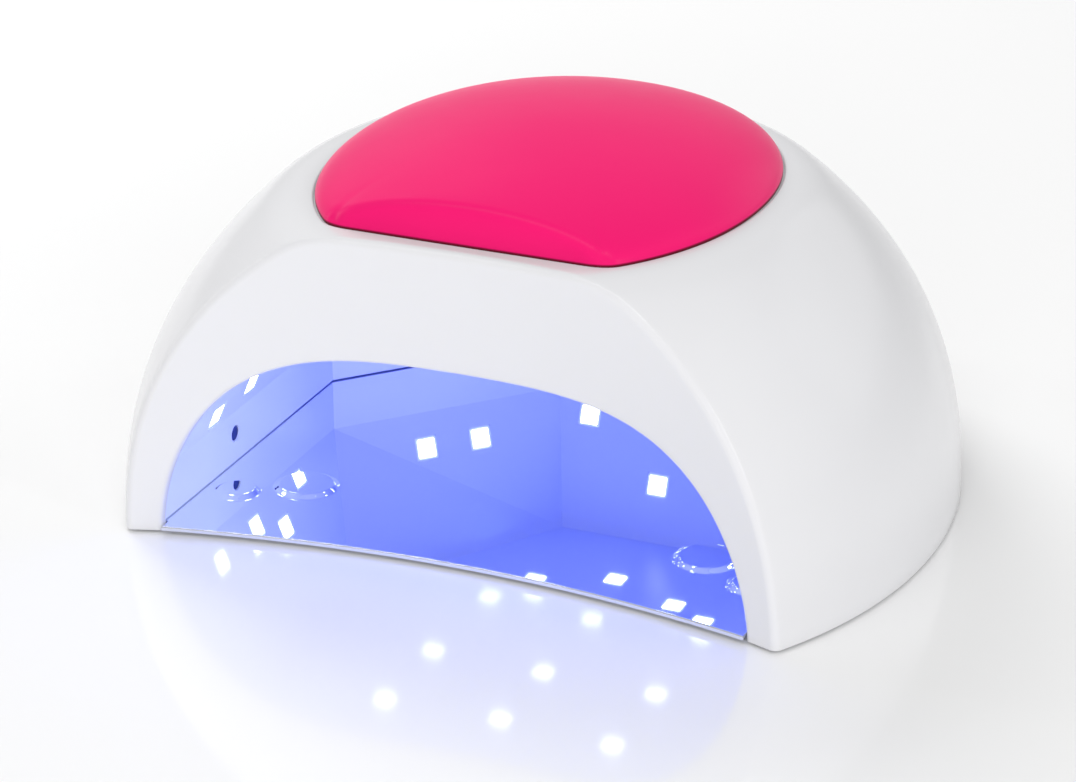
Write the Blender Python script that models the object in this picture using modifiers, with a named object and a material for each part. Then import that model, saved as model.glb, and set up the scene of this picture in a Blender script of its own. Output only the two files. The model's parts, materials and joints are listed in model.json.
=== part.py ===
"""UV LED nail lamp: a domed housing with a hand opening, a mirror base plate and a lift-off pad.

Units are metres, +Z is up and -Y is the front. The origin is on the table, in the middle of the plan.
"""

import math

import bmesh
import bpy
from mathutils import Matrix, Vector

MM = 0.001

# Housing: a superelliptic dome, cut off flat on top and cut by a concave front face.
HALF_WIDTH = 115.0 * MM
HALF_DEPTH = 128.9 * MM
FULL_HEIGHT = 124.0 * MM
DOME_Y = -27.6 * MM
PLAN_POWER = 2.05
DROP_POWER = 1.5
RISE_POWER = 2.27
DECK_Z = 92.8 * MM
SKIRT_Z = 0.8 * MM
WALL = 2.5 * MM
GAP = 0.3 * MM
RIM_GAP = 1.4 * MM

# Front face: its plan is an arc, and it leans forward as it rises.
FACE_Y = -103.0 * MM
FACE_HOLLOW = 18.8 * MM
FACE_SPAN = 100.0 * MM
FACE_LEAN = 0.059

# Hand opening in the front face.
ARCH_HALF_WIDTH = 86.2 * MM
ARCH_HEIGHT = 57.5 * MM
ARCH_WIDTH_POWER = 3.78
ARCH_HEIGHT_POWER = 1.75

# Pad: a dome with a straight front, over a seat of the same shape.
PAD_HALF_WIDTH = 61.9 * MM
PAD_Y = -24.3 * MM
PAD_FRONT = 75.5 * MM
PAD_REAR = 72.4 * MM
PAD_RISE = 17.7 * MM
PAD_PLAN_POWER = 2.06
PAD_DROP_POWER = 1.72
PAD_RISE_POWER = 0.57
PAD_THICKNESS = 3.2 * MM
PAD_FACE_Y = -83.2 * MM
PAD_FACE_TILT = math.radians(10)
POCKET_DEPTH = 1.0 * MM

# Reflective liner: upright walls up to the fold, then sloping facets up to a flat ceiling.
LINER_WALL = 1.6 * MM
LINER_FOOT_Z = 2.8 * MM
FOLD_Z = 18.0 * MM
CEILING_Z = 58.0 * MM
FOLD_CORNERS = ((86.5 * MM, 11.0 * MM), (36.0 * MM, 67.0 * MM))
CEILING_CORNERS = ((70.0 * MM, -13.0 * MM), (29.0 * MM, 52.0 * MM))
LINER_FRONT_Y = -115.0 * MM

# Mirror base plate.
PLATE_Z = (0.5 * MM, 2.4 * MM)
PLATE_FACE_Y = -102.8 * MM
PLATE_HOLLOW = 14.0 * MM
PLATE_FRONT_HALF = 85.7 * MM
LEG_BACK_Y = -95.2 * MM
LEG_FLOOR_Z = 5.0 * MM
FEET = ((60.5 * MM, -59.5 * MM), (46.0 * MM, 42.0 * MM))
FOOT_RADIUS = 7.0 * MM
FOOT_HEIGHT = 1.4 * MM
DIMPLE_RADIUS = 8.8 * MM
DIMPLE_HEIGHT = 0.8 * MM
SMALL_DIMPLE = (77.0 * MM, -70.0 * MM)
SMALL_DIMPLE_RADIUS = 6.4 * MM

# Lower frame, its posts, screws and magnets.
FRAME_Z = (2.7 * MM, 5.7 * MM)
POSTS = ((93.5 * MM, -85.5 * MM), (100.5 * MM, -27.0 * MM), (62.0 * MM, 72.0 * MM))
POST_RADIUS = 4.0 * MM
MAGNETS = ((98.5 * MM, -58.0 * MM), (82.0 * MM, 44.0 * MM))
MAGNET_RADIUS = 4.0 * MM
MAGNET_HEIGHT = 1.6 * MM
SCREW_HEAD_RADIUS = 2.8 * MM
SCREW_RADIUS = 1.4 * MM
SCREW_LENGTH = 9.0 * MM

# Diodes: a square package in a square window. Places are along and up each facet, from its frame's origin.
LED_SIDE = 6.4 * MM
WINDOW_SIDE = 7.2 * MM
BOARD_THICKNESS = 1.2 * MM
BOARD_MARGIN = 5.0 * MM
CEILING_LEDS = (
    (0.0, 24.5), (22.5, 15.0), (-22.5, 15.0), (34.0, 8.0), (-34.0, 8.0), (0.0, 6.0),
    (35.0, -31.0), (-35.0, -31.0), (0.0, -31.0), (35.0, -64.0), (-35.0, -64.0), (0.0, -62.0),
)
SIDE_LEDS = ((-66.5, 5.2), (-46.5, 7.8), (-32.5, 14.0), (-17.5, 5.8))
CORNER_LEDS = ((-9.0, 11.0), (9.0, 11.0))
REAR_LEDS = ((-25.0, 7.0), (25.0, 7.0), (0.0, 25.0))

# Presence sensor in the side walls.
SENSOR_Y = -52.0 * MM
SENSOR_Z = 11.2 * MM
SENSOR_RADIUS = 2.2 * MM

# Control panel, in its own frame: X across, Y up the slope, Z outwards.
PANEL_Y = 71.0 * MM
PANEL_SINK = 3.3 * MM
PANEL_SIZE = (48.0 * MM, 26.0 * MM)
PANEL_CORNER = 8.0 * MM
PANEL_HOLE = (42.2 * MM, 23.0 * MM)
BEZEL_THICKNESS = 1.6 * MM
DISPLAY_PLACE = 5.3 * MM
DISPLAY_SIZE = (28.0 * MM, 8.6 * MM)
BUTTON_PLACE = -6.2 * MM
BUTTON_PITCH = 10.6 * MM
BUTTON_RADIUS = 3.9 * MM
BUTTON_PROUD = 0.8 * MM
BUTTON_NAMES = ("button_10s", "button_30s", "button_60s", "button_99s")
BOARD_DROP = 7.4 * MM
CONTROL_BOARD = (54.0 * MM, 23.0 * MM)
PEG_X = 24.0 * MM
PEG_RADIUS = 2.4 * MM
PEG_SCREW = (1.6 * MM, 0.8 * MM, 5.0 * MM)

# Supply inlet, vents and driver board at the back.
INLET_Z = 14.0 * MM
INLET_RADIUS = 4.0 * MM
INLET_FACE_Y = 99.5 * MM
INLET_FLANGE_RADIUS = 5.4 * MM
INLET_BORE_RADIUS = 2.9 * MM
INLET_PIN_RADIUS = 1.0 * MM
INLET_BACK_Y = 88.0 * MM
VENT_COUNT = 5
VENT_X = 23.0 * MM
VENT_WIDTH = 2.2 * MM
VENT_PITCH = 5.2 * MM
VENT_Z = (9.0 * MM, 25.0 * MM)
DRIVER_Y = 74.0 * MM
DRIVER_SIZE = (68.0 * MM, 32.0 * MM)
DRIVER_Z = 7.0 * MM
DRIVER_THICKNESS = 1.6 * MM

PARTS = None
CUTTERS = None


# ---------------------------------------------------------------- helpers

def clear_scene():
    """Removes whatever objects the file holds."""
    for obj in list(bpy.data.objects):
        bpy.data.objects.remove(obj, do_unlink=True)


def new_collection(name):
    """A collection linked to the scene."""
    made = bpy.data.collections.new(name)
    bpy.context.scene.collection.children.link(made)
    return made


def material(name, colour, roughness, metallic=0.0):
    """A Principled material of one finish."""
    made = bpy.data.materials.new(name)
    made.use_nodes = True
    shader = made.node_tree.nodes["Principled BSDF"]
    shader.inputs["Base Color"].default_value = (*colour, 1.0)
    shader.inputs["Roughness"].default_value = roughness
    shader.inputs["Metallic"].default_value = metallic
    return made


def place(mesh, name, finish=None):
    """An object for the mesh, as a part with a finish or as a cutter without one."""
    obj = bpy.data.objects.new(name, mesh)
    if finish is None:
        CUTTERS.objects.link(obj)
        obj.hide_render = True
        obj.display_type = "WIRE"
    else:
        PARTS.objects.link(obj)
        mesh.materials.append(finish)
    return obj


def from_bmesh(bm, name, finish=None):
    """An object from a bmesh, with its faces turned outwards."""
    bmesh.ops.recalc_face_normals(bm, faces=bm.faces)
    mesh = bpy.data.meshes.new(name)
    bm.to_mesh(mesh)
    bm.free()
    return place(mesh, name, finish)


def box(name, low, high, finish=None, frame=Matrix.Identity(4)):
    """A box between two corners of a frame."""
    bm = bmesh.new()
    bmesh.ops.create_cube(bm, size=1.0)
    low, high = Vector(low), Vector(high)
    bmesh.ops.scale(bm, vec=high - low, verts=bm.verts)
    bmesh.ops.translate(bm, vec=(low + high) / 2, verts=bm.verts)
    bmesh.ops.transform(bm, matrix=frame, verts=bm.verts)
    return from_bmesh(bm, name, finish)


def cylinder(name, centre, radius, low, high, finish=None, frame=Matrix.Identity(4), sides=24, top=None):
    """A cylinder, or a cone with another top radius, along a frame's Z at a centre in its XY."""
    bm = bmesh.new()
    bmesh.ops.create_cone(
        bm, cap_ends=True, segments=sides, radius1=radius, radius2=radius if top is None else top,
        depth=high - low, matrix=Matrix.Translation((centre[0], centre[1], (low + high) / 2)),
    )
    bmesh.ops.transform(bm, matrix=frame, verts=bm.verts)
    return from_bmesh(bm, name, finish)


def turned(name, profile, finish, frame, sides=16):
    """A solid turned about a frame's Z from a profile of (radius, height), listed top to bottom."""
    bm = bmesh.new()
    verts = [bm.verts.new((radius, 0.0, height)) for radius, height in profile]
    for first, second in zip(verts, verts[1:]):
        bm.edges.new((first, second))
    mesh = bpy.data.meshes.new(name)
    bm.to_mesh(mesh)
    bm.free()
    obj = place(mesh, name, finish)
    obj.matrix_world = frame
    screw = obj.modifiers.new("turn", "SCREW")
    screw.steps = sides
    screw.render_steps = sides
    screw.merge_threshold = 0.00001
    screw.use_merge_vertices = True
    screw.use_smooth_shade = False
    return obj


def tube(name, points, radius, finish):
    """A wire along a smooth curve through its route's points."""
    curve = bpy.data.curves.new(name, "CURVE")
    curve.dimensions = "3D"
    curve.bevel_depth = radius
    curve.bevel_resolution = 2
    curve.use_fill_caps = True
    spline = curve.splines.new("POLY")
    route = smooth_route([Vector(point) for point in points])
    spline.points.add(len(route) - 1)
    for knot, point in zip(spline.points, route):
        knot.co = (*point, 1.0)
    obj = bpy.data.objects.new(name, curve)
    PARTS.objects.link(obj)
    curve.materials.append(finish)
    return obj


def smooth_route(points, steps=4):
    """Points of a Catmull-Rom curve through the given ones."""
    ends = [points[0] * 2 - points[1], *points, points[-1] * 2 - points[-2]]
    route = []
    for a, b, c, d in zip(ends, ends[1:], ends[2:], ends[3:]):
        for step in range(steps):
            t = step / steps
            route.append(
                0.5 * ((2 * b) + (c - a) * t + (2 * a - 5 * b + 4 * c - d) * t * t
                       + (3 * b - a - 3 * c + d) * t * t * t)
            )
    return route + [points[-1]]


def plate(name, outlines, low, high, finish=None, frame=Matrix.Identity(4)):
    """A flat plate of filled outlines; an outline inside another is a hole."""
    curve = bpy.data.curves.new(name, "CURVE")
    curve.dimensions = "2D"
    curve.fill_mode = "BOTH"
    curve.extrude = (high - low) / 2
    for outline in outlines:
        spline = curve.splines.new("POLY")
        spline.points.add(len(outline) - 1)
        spline.use_cyclic_u = True
        for knot, point in zip(spline.points, outline):
            knot.co = (point[0], point[1], 0.0, 1.0)
    flat = bpy.data.objects.new(name + "_outline", curve)
    CUTTERS.objects.link(flat)
    flat.matrix_world = frame @ Matrix.Translation((0, 0, (low + high) / 2))
    bpy.context.view_layer.update()
    solid = flat.evaluated_get(bpy.context.evaluated_depsgraph_get())
    mesh = bpy.data.meshes.new_from_object(solid)
    mesh.name = name
    mesh.transform(flat.matrix_world)
    mesh.materials.clear()
    bpy.data.objects.remove(flat)
    bm = bmesh.new()
    bm.from_mesh(mesh)
    bpy.data.meshes.remove(mesh)
    bmesh.ops.remove_doubles(bm, verts=bm.verts, dist=0.000001)
    return from_bmesh(bm, name, finish)


def boolean(obj, operation, *tools):
    """Cuts, joins or intersects an object with each tool in turn."""
    for tool in tools:
        step = obj.modifiers.new(tool.name, "BOOLEAN")
        step.operation = operation
        step.solver = "EXACT"
        step.object = tool
    return obj


def repeat_along_x(obj, count, pitch):
    """Repeats an object in a row."""
    row = obj.modifiers.new("row", "ARRAY")
    row.count = count
    row.use_relative_offset = False
    row.use_constant_offset = True
    row.constant_offset_displace = (pitch, 0, 0)
    row.merge_threshold = 0.00001


def bevel(obj, width, segments=1, angle=40):
    """Rounds an object's sharp edges."""
    step = obj.modifiers.new("rounding", "BEVEL")
    step.width = width
    step.segments = segments
    step.limit_method = "ANGLE"
    step.angle_limit = math.radians(angle)
    return obj


def mirrored(places):
    """Each place and its mirror image across the lamp's middle."""
    return [(side * x, y) for x, y in places for side in (1, -1)]


def rounded_rectangle(width, depth, radius, centre=(0.0, 0.0), steps=5):
    """The outline of a rectangle with round corners."""
    outline = []
    for quarter, (sx, sy) in enumerate(((1, 1), (-1, 1), (-1, -1), (1, -1))):
        for step in range(steps + 1):
            angle = math.radians(90) * (quarter + step / steps)
            x = centre[0] + sx * (width / 2 - radius) + radius * math.cos(angle)
            y = centre[1] + sy * (depth / 2 - radius) + radius * math.sin(angle)
            outline.append((x, y))
    return outline


def power(value, exponent):
    """A signed power, for superelliptic outlines."""
    return math.copysign(abs(value) ** exponent, value)


# ---------------------------------------------------------------- shared shapes

def dome_height(x, y):
    """The height of the dome's outer surface over a point of the plan."""
    across, along = abs(x / HALF_WIDTH), abs((y - DOME_Y) / HALF_DEPTH)
    radius = (across ** PLAN_POWER + along ** PLAN_POWER) ** (1 / PLAN_POWER)
    return FULL_HEIGHT * max(1 - radius ** DROP_POWER, 0.0) ** (1 / RISE_POWER)


def dome_plan(angle, inset, scale=1.0):
    """A point of the dome's plan outline, inset from the outer surface."""
    x = (HALF_WIDTH - inset) * scale * power(math.cos(angle), 2 / PLAN_POWER)
    y = DOME_Y + (HALF_DEPTH - inset) * scale * power(math.sin(angle), 2 / PLAN_POWER)
    return x, y


def face_y(x, z):
    """The front face's place at a distance from the middle and a height."""
    return FACE_Y + FACE_HOLLOW * (1 - (x / FACE_SPAN) ** 2) - FACE_LEAN * z


def ring_solid(name, rings, finish=None):
    """A closed solid through rings of equal length, listed from the bottom up."""
    bm = bmesh.new()
    rows = [[bm.verts.new(point) for point in ring] for ring in rings]
    count = len(rows[0])
    for below, above in zip(rows, rows[1:]):
        for index in range(count):
            after = (index + 1) % count
            bm.faces.new((below[index], below[after], above[after], above[index]))
    bm.faces.new(rows[0][::-1])
    bm.faces.new(rows[-1])
    return from_bmesh(bm, name, finish)


def dome_solid(name, inset, foot_z, top_z, around=48, levels=8, finish=None):
    """The dome, inset by a wall, from a foot height up to a flat top."""
    height = FULL_HEIGHT - inset
    top_angle = math.asin((top_z / height) ** (RISE_POWER / 2))
    rings = []
    for level in range(levels + 1):
        angle = top_angle * level / levels
        scale = math.cos(angle) ** (2 / DROP_POWER)
        z = foot_z if level == 0 else height * math.sin(angle) ** (2 / RISE_POWER)
        turn = [math.tau * step / around for step in range(around)]
        rings.append([(*dome_plan(a, inset, scale), z) for a in turn])
    return ring_solid(name, rings, finish)


def front_block(name, set_back):
    """Everything in front of the front face, moved back by some distance."""
    steps = 28
    reach = 122 * MM
    outline = []
    for z in (-10 * MM, 125 * MM):
        row = []
        for step in range(steps + 1):
            x = reach * (2 * step / steps - 1)
            row.append((x, face_y(x, z) + set_back, z))
        row.append((reach, -170 * MM, z))
        row.append((-reach, -170 * MM, z))
        outline.append(row)
    return ring_solid(name, outline)


def pad_solid(name, inset, foot_z, around=36, levels=5, finish=None):
    """The pad's dome, inset by a thickness, still with its full front."""
    plan = []
    for step in range(around):
        angle = math.tau * step / around
        depth = (PAD_REAR if math.sin(angle) > 0 else PAD_FRONT) - inset
        x = (PAD_HALF_WIDTH - inset) * power(math.cos(angle), 2 / PAD_PLAN_POWER)
        plan.append((x, depth * power(math.sin(angle), 2 / PAD_PLAN_POWER)))
    rings = [[(x, PAD_Y + y, foot_z) for x, y in plan]]
    for level in range(levels + 1):
        lift = math.radians(90) * min(level / levels, 0.97)
        scale = math.cos(lift) ** (2 / PAD_DROP_POWER)
        rise = (PAD_RISE - inset) * (1 - scale ** PAD_DROP_POWER) ** PAD_RISE_POWER
        rings.append([(x * scale, PAD_Y + y * scale, DECK_Z + rise) for x, y in plan])
    return ring_solid(name, rings, finish)


def pad_front_block(name, set_back):
    """The tilted block that trims the pad's dome to a straight front."""
    hinge = Matrix.Translation((0, PAD_FACE_Y + set_back, DECK_Z))
    frame = hinge @ Matrix.Rotation(-PAD_FACE_TILT, 4, "X")
    return box(name, (-90 * MM, -60 * MM, -20 * MM), (90 * MM, 0, 40 * MM), frame=frame)


def facet_frame(origin, along, up_point):
    """A frame on a facet: X along it, Y up the slope, Z away from the hand space."""
    origin, along, up_point = Vector(origin), Vector(along), Vector(up_point)
    x_axis = along.normalized()
    up = up_point - origin
    y_axis = (up - x_axis * up.dot(x_axis)).normalized()
    z_axis = x_axis.cross(y_axis)
    frame = Matrix((x_axis, y_axis, z_axis)).transposed().to_4x4()
    return Matrix.Translation(origin) @ frame


def panel_frame():
    """The control panel's frame, sunk below the dome along the surface's normal."""
    step = 0.5 * MM
    z = dome_height(0, PANEL_Y)
    slope = (dome_height(0, PANEL_Y + step) - dome_height(0, PANEL_Y - step)) / (2 * step)
    normal = Vector((0, -slope, 1)).normalized()
    x_axis = Vector((-1, 0, 0))
    y_axis = normal.cross(x_axis)
    frame = Matrix((x_axis, y_axis, normal)).transposed().to_4x4()
    return Matrix.Translation(Vector((0, PANEL_Y, z)) - normal * PANEL_SINK) @ frame


def liner_facets():
    """The frame of each lit facet and the places of its diodes, by board name."""
    fold_side, fold_rear = FOLD_CORNERS
    top_side, top_rear = CEILING_CORNERS
    side_up = (top_side[0], 0, CEILING_Z)
    corner_low = (Vector((*fold_side, FOLD_Z)) + Vector((*fold_rear, FOLD_Z))) / 2
    corner_along = Vector((*fold_side, 0)) - Vector((*fold_rear, 0))
    corner_top = Vector((*top_rear, CEILING_Z))
    facets = {
        "led_board_ceiling": (Matrix.Translation((0, 0, CEILING_Z)), CEILING_LEDS),
        "led_board_right": (
            facet_frame((fold_side[0], 0, FOLD_Z), (0, 1, 0), side_up), SIDE_LEDS,
        ),
        "led_board_left": (
            facet_frame((-fold_side[0], 0, FOLD_Z), (0, -1, 0), (-side_up[0], 0, CEILING_Z)),
            [(-x, y) for x, y in SIDE_LEDS],
        ),
        "led_board_rear_right": (
            facet_frame(corner_low, -corner_along, corner_top), CORNER_LEDS,
        ),
        "led_board_rear_left": (
            facet_frame(
                (-corner_low.x, corner_low.y, FOLD_Z), (-corner_along.x, corner_along.y, 0),
                (-corner_top.x, corner_top.y, CEILING_Z),
            ), CORNER_LEDS,
        ),
        "led_board_rear": (
            facet_frame((0, fold_rear[1], FOLD_Z), (-1, 0, 0), (0, top_rear[1], CEILING_Z)),
            REAR_LEDS,
        ),
    }
    return facets


# ---------------------------------------------------------------- housing

def arch_outline():
    """The hand opening's outline across the front, carried below the legs."""
    steps = 36
    outline = [(ARCH_HALF_WIDTH, -5 * MM)]
    for step in range(steps + 1):
        angle = math.pi * step / steps
        x = ARCH_HALF_WIDTH * power(math.cos(angle), 2 / ARCH_WIDTH_POWER)
        z = ARCH_HEIGHT * math.sin(angle) ** (2 / ARCH_HEIGHT_POWER)
        outline.append((x, z))
    outline.append((-ARCH_HALF_WIDTH, -5 * MM))
    return outline


def make_cavity(panel):
    """The housing's inside, with the posts and the control panel's backing left standing."""
    roof_z = DECK_Z - POCKET_DEPTH - WALL
    cavity = dome_solid("cavity", WALL, -6 * MM, roof_z, around=36, levels=6)
    attic = pad_solid("attic", PAD_THICKNESS + GAP + WALL, roof_z - 4 * MM, around=24, levels=4)
    attic_front = pad_front_block("attic_front", PAD_THICKNESS + GAP + WALL)
    boolean(attic, "DIFFERENCE", attic_front)
    boolean(cavity, "UNION", attic)
    boolean(cavity, "DIFFERENCE", front_block("cavity_front", WALL))
    posts = []
    for index, centre in enumerate(mirrored(POSTS), 1):
        high = dome_height(*centre) + 4 * MM
        posts.append(cylinder(f"post_{index}", centre, POST_RADIUS, FRAME_Z[1] + GAP, high, sides=16))
    half_x, half_y = PANEL_SIZE[0] / 2 + 3 * MM, PANEL_SIZE[1] / 2 + 3 * MM
    floor = -BEZEL_THICKNESS - GAP
    backing = box(
        "panel_backing", (-half_x, -half_y, floor - 2.1 * MM), (half_x, half_y, 12 * MM), frame=panel
    )
    boolean(cavity, "DIFFERENCE", *posts, backing)
    for side in (-1, 1):
        low = (min(side * 84 * MM, side * 104 * MM), -112 * MM, -8 * MM)
        high = (max(side * 84 * MM, side * 104 * MM), LEG_BACK_Y - 1.4 * MM, LEG_FLOOR_Z)
        boolean(cavity, "DIFFERENCE", box(f"leg_floor_{side + 2}", low, high))
    for side in (-1, 1):
        peg = cylinder(
            f"panel_peg_{side + 2}", (side * PEG_X, 0), PEG_RADIUS, -BOARD_DROP + GAP,
            floor - 2 * MM, frame=panel, sides=16,
        )
        boolean(cavity, "DIFFERENCE", peg)
    return cavity


def make_vents():
    """Rows of upright slots on both sides of the inlet."""
    slot = box("vents", (VENT_X, 80 * MM, VENT_Z[0]), (VENT_X + VENT_WIDTH, 112 * MM, VENT_Z[1]))
    repeat_along_x(slot, VENT_COUNT, VENT_PITCH)
    both = slot.modifiers.new("both", "MIRROR")
    both.use_axis = (True, False, False)
    both.merge_threshold = 0.00001
    return slot


def make_top_shell(panel, finish):
    """The white housing with its opening, pad seat, control recess, inlet, vents and screw posts."""
    shell = dome_solid("top_shell", 0.0, SKIRT_Z, DECK_Z, finish=finish)
    pocket = pad_solid("pad_pocket", -2 * GAP, DECK_Z - POCKET_DEPTH)
    pocket_front = pad_front_block("pocket_front", -GAP)
    boolean(pocket, "DIFFERENCE", pocket_front)
    seat = pad_solid("pad_seat", PAD_THICKNESS + GAP, DECK_Z - 2 * POCKET_DEPTH, around=36, levels=5)
    seat_front = pad_front_block("seat_front", PAD_THICKNESS + GAP)
    boolean(seat, "DIFFERENCE", seat_front)
    boolean(shell, "DIFFERENCE", pocket)
    boolean(shell, "UNION", seat)
    boolean(shell, "DIFFERENCE", front_block("front_face", 0.0), make_cavity(panel))
    upright = Matrix.Rotation(math.radians(90), 4, "X")
    arch = plate("arch", [arch_outline()], 76 * MM, 125 * MM, frame=upright)
    boolean(shell, "DIFFERENCE", arch)
    floor = -BEZEL_THICKNESS - GAP
    recess = plate(
        "panel_recess", [rounded_rectangle(*PANEL_SIZE, PANEL_CORNER)], floor, 12 * MM, frame=panel
    )
    hole = plate(
        "panel_hole", [rounded_rectangle(*PANEL_HOLE, PANEL_CORNER / 4)], -8 * MM, 0.0, frame=panel
    )
    boolean(shell, "DIFFERENCE", recess, hole, make_vents())
    along_y = Matrix.Translation((0, 0, INLET_Z)) @ Matrix.Rotation(math.radians(-90), 4, "X")
    bore = cylinder("inlet_bore", (0, 0), INLET_RADIUS + GAP, 90 * MM, 110 * MM, frame=along_y)
    spot_face = cylinder(
        "inlet_face", (0, 0), INLET_FLANGE_RADIUS + 0.4 * MM, INLET_FACE_Y, 110 * MM, frame=along_y
    )
    boolean(shell, "DIFFERENCE", bore, spot_face)
    for index, centre in enumerate(mirrored(POSTS), 1):
        pilot = cylinder(
            f"pilot_{index}", centre, SCREW_RADIUS + GAP, 0.0, FRAME_Z[1] + SCREW_LENGTH, sides=12
        )
        boolean(shell, "DIFFERENCE", pilot)
    for side in (-1, 1):
        pilot = cylinder(
            f"peg_pilot_{side + 2}", (side * PEG_X, 0), PEG_SCREW[1] + GAP, -12 * MM,
            floor - 1.2 * MM, frame=panel, sides=12,
        )
        boolean(shell, "DIFFERENCE", pilot)
    return shell


def make_pad(finish):
    """The soft pad: a skin over the seat, open underneath."""
    foot_z = DECK_Z - POCKET_DEPTH + GAP
    pad = pad_solid("silicone_pad", 0.0, foot_z, finish=finish)
    hollow = pad_solid("pad_hollow", PAD_THICKNESS, foot_z - 3 * MM, around=36, levels=5)
    hollow_front = pad_front_block("pad_hollow_front", PAD_THICKNESS)
    boolean(hollow, "DIFFERENCE", hollow_front)
    boolean(pad, "DIFFERENCE", pad_front_block("pad_front", 0.0), hollow)
    return pad


# ---------------------------------------------------------------- liner and base

def liner_outline(corners, front_y, outset=0.0):
    """Half of the liner's plan, from the front to the middle of the back, as a mirrored loop."""
    (side_x, side_y), (rear_x, rear_y) = corners
    lean = Vector((rear_x - side_x, rear_y - side_y)).normalized()
    half = (
        (side_x + outset, front_y), (side_x + outset, side_y + outset * (1 + lean.x)),
        (rear_x + outset * (1 + lean.x), rear_y + outset),
    )
    return [*half, *[(-x, y) for x, y in reversed(half)]]


def make_liner(finish):
    """The white faceted reflector, open at the front and at the bottom."""
    bm = bmesh.new()
    rows = []
    for corners, z in ((FOLD_CORNERS, LINER_FOOT_Z), (FOLD_CORNERS, FOLD_Z), (CEILING_CORNERS, CEILING_Z)):
        rows.append([bm.verts.new((x, y, z)) for x, y in liner_outline(corners, LINER_FRONT_Y)])
    foot, fold, top = rows
    for index in range(5):
        bm.faces.new((foot[index], foot[index + 1], fold[index + 1], fold[index]))
        a, b, c, d = fold[index], fold[index + 1], top[index + 1], top[index]
        if index == 1:
            facets = ((a, b, c), (a, c, d))
        elif index == 3:
            facets = ((a, b, d), (b, c, d))
        else:
            facets = ((a, b, c, d),)
        for facet in facets:
            bm.faces.new(facet)
    bm.faces.new((top[0], top[1], top[4], top[5]))
    bm.faces.new((top[1], top[2], top[3], top[4]))
    bmesh.ops.recalc_face_normals(bm, faces=bm.faces)
    if sum(face.normal.z * face.calc_area() for face in bm.faces) < 0:
        bmesh.ops.reverse_faces(bm, faces=bm.faces)
    mesh = bpy.data.meshes.new("inner_liner")
    bm.to_mesh(mesh)
    bm.free()
    liner = place(mesh, "inner_liner", finish)
    skin = liner.modifiers.new("wall", "SOLIDIFY")
    skin.thickness = LINER_WALL
    skin.offset = 1.0
    skin.use_even_offset = True
    boolean(liner, "DIFFERENCE", front_block("liner_front", WALL + GAP))
    half = WINDOW_SIDE / 2
    for name, (frame, places) in liner_facets().items():
        for index, (x, y) in enumerate(places, 1):
            x, y = x * MM, y * MM
            window = box(
                f"{name}_window_{index}", (x - half, y - half, -2 * MM), (x + half, y + half, 4 * MM),
                frame=frame,
            )
            boolean(liner, "DIFFERENCE", window)
    across = Matrix.Translation((0, SENSOR_Y, SENSOR_Z)) @ Matrix.Rotation(math.radians(90), 4, "Y")
    holes = cylinder(
        "sensor_holes", (0, 0), SENSOR_RADIUS + GAP, -95 * MM, 95 * MM, frame=across, sides=20
    )
    boolean(liner, "DIFFERENCE", holes)
    return liner


def rim_outline(inset):
    """The dome's plan, inset, from behind the right leg round the back to behind the left leg."""
    steps = 36
    outline = []
    for step in range(steps + 1):
        angle = math.radians(-58) + math.radians(296) * step / steps
        x, y = dome_plan(angle, inset)
        if y > LEG_BACK_Y + 1.5 * MM:
            outline.append((x, y))
    half = (HALF_WIDTH - inset) * (
        1 - ((DOME_Y - LEG_BACK_Y) / (HALF_DEPTH - inset)) ** PLAN_POWER
    ) ** (1 / PLAN_POWER)
    return [(half, LEG_BACK_Y), *outline, (-half, LEG_BACK_Y)]


def make_lower_frame(finish):
    """The closing ring under the housing, with guides for the driver board."""
    inner = liner_outline(FOLD_CORNERS, LEG_BACK_Y, LINER_WALL + GAP)
    ring = [*rim_outline(WALL + RIM_GAP), *reversed(inner)]
    frame = plate("lower_frame", [ring], *FRAME_Z, finish=finish)
    for side in (-1, 1):
        x = side * (DRIVER_SIZE[0] / 2 + 0.5 * MM)
        guide = box(
            f"guide_{side + 2}", (x - 3 * MM, DRIVER_Y - 3 * MM, FRAME_Z[1] - 1 * MM),
            (x + 3 * MM, DRIVER_Y + 5 * MM, 20 * MM),
        )
        boolean(frame, "UNION", guide)
    half = DRIVER_SIZE[0] / 2 + GAP
    slot = box(
        "guide_slot", (-half, DRIVER_Y - GAP, FRAME_Z[1]),
        (half, DRIVER_Y + DRIVER_THICKNESS + GAP, 30 * MM),
    )
    boolean(frame, "DIFFERENCE", slot)
    for index, centre in enumerate(mirrored(POSTS), 1):
        hole = cylinder(f"frame_hole_{index}", centre, SCREW_RADIUS + GAP, 0.0, 8 * MM, sides=12)
        seat = cylinder(
            f"frame_seat_{index}", centre, SCREW_HEAD_RADIUS + GAP, 0.0, FRAME_Z[0] + 1.9 * MM, sides=16
        )
        boolean(frame, "DIFFERENCE", hole, seat)
    for index, centre in enumerate(mirrored(MAGNETS), 1):
        pocket = cylinder(
            f"magnet_pocket_{index}", centre, MAGNET_RADIUS + GAP, 0.0,
            FRAME_Z[0] + MAGNET_HEIGHT + GAP, sides=20,
        )
        boolean(frame, "DIFFERENCE", pocket)
    return frame


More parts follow.
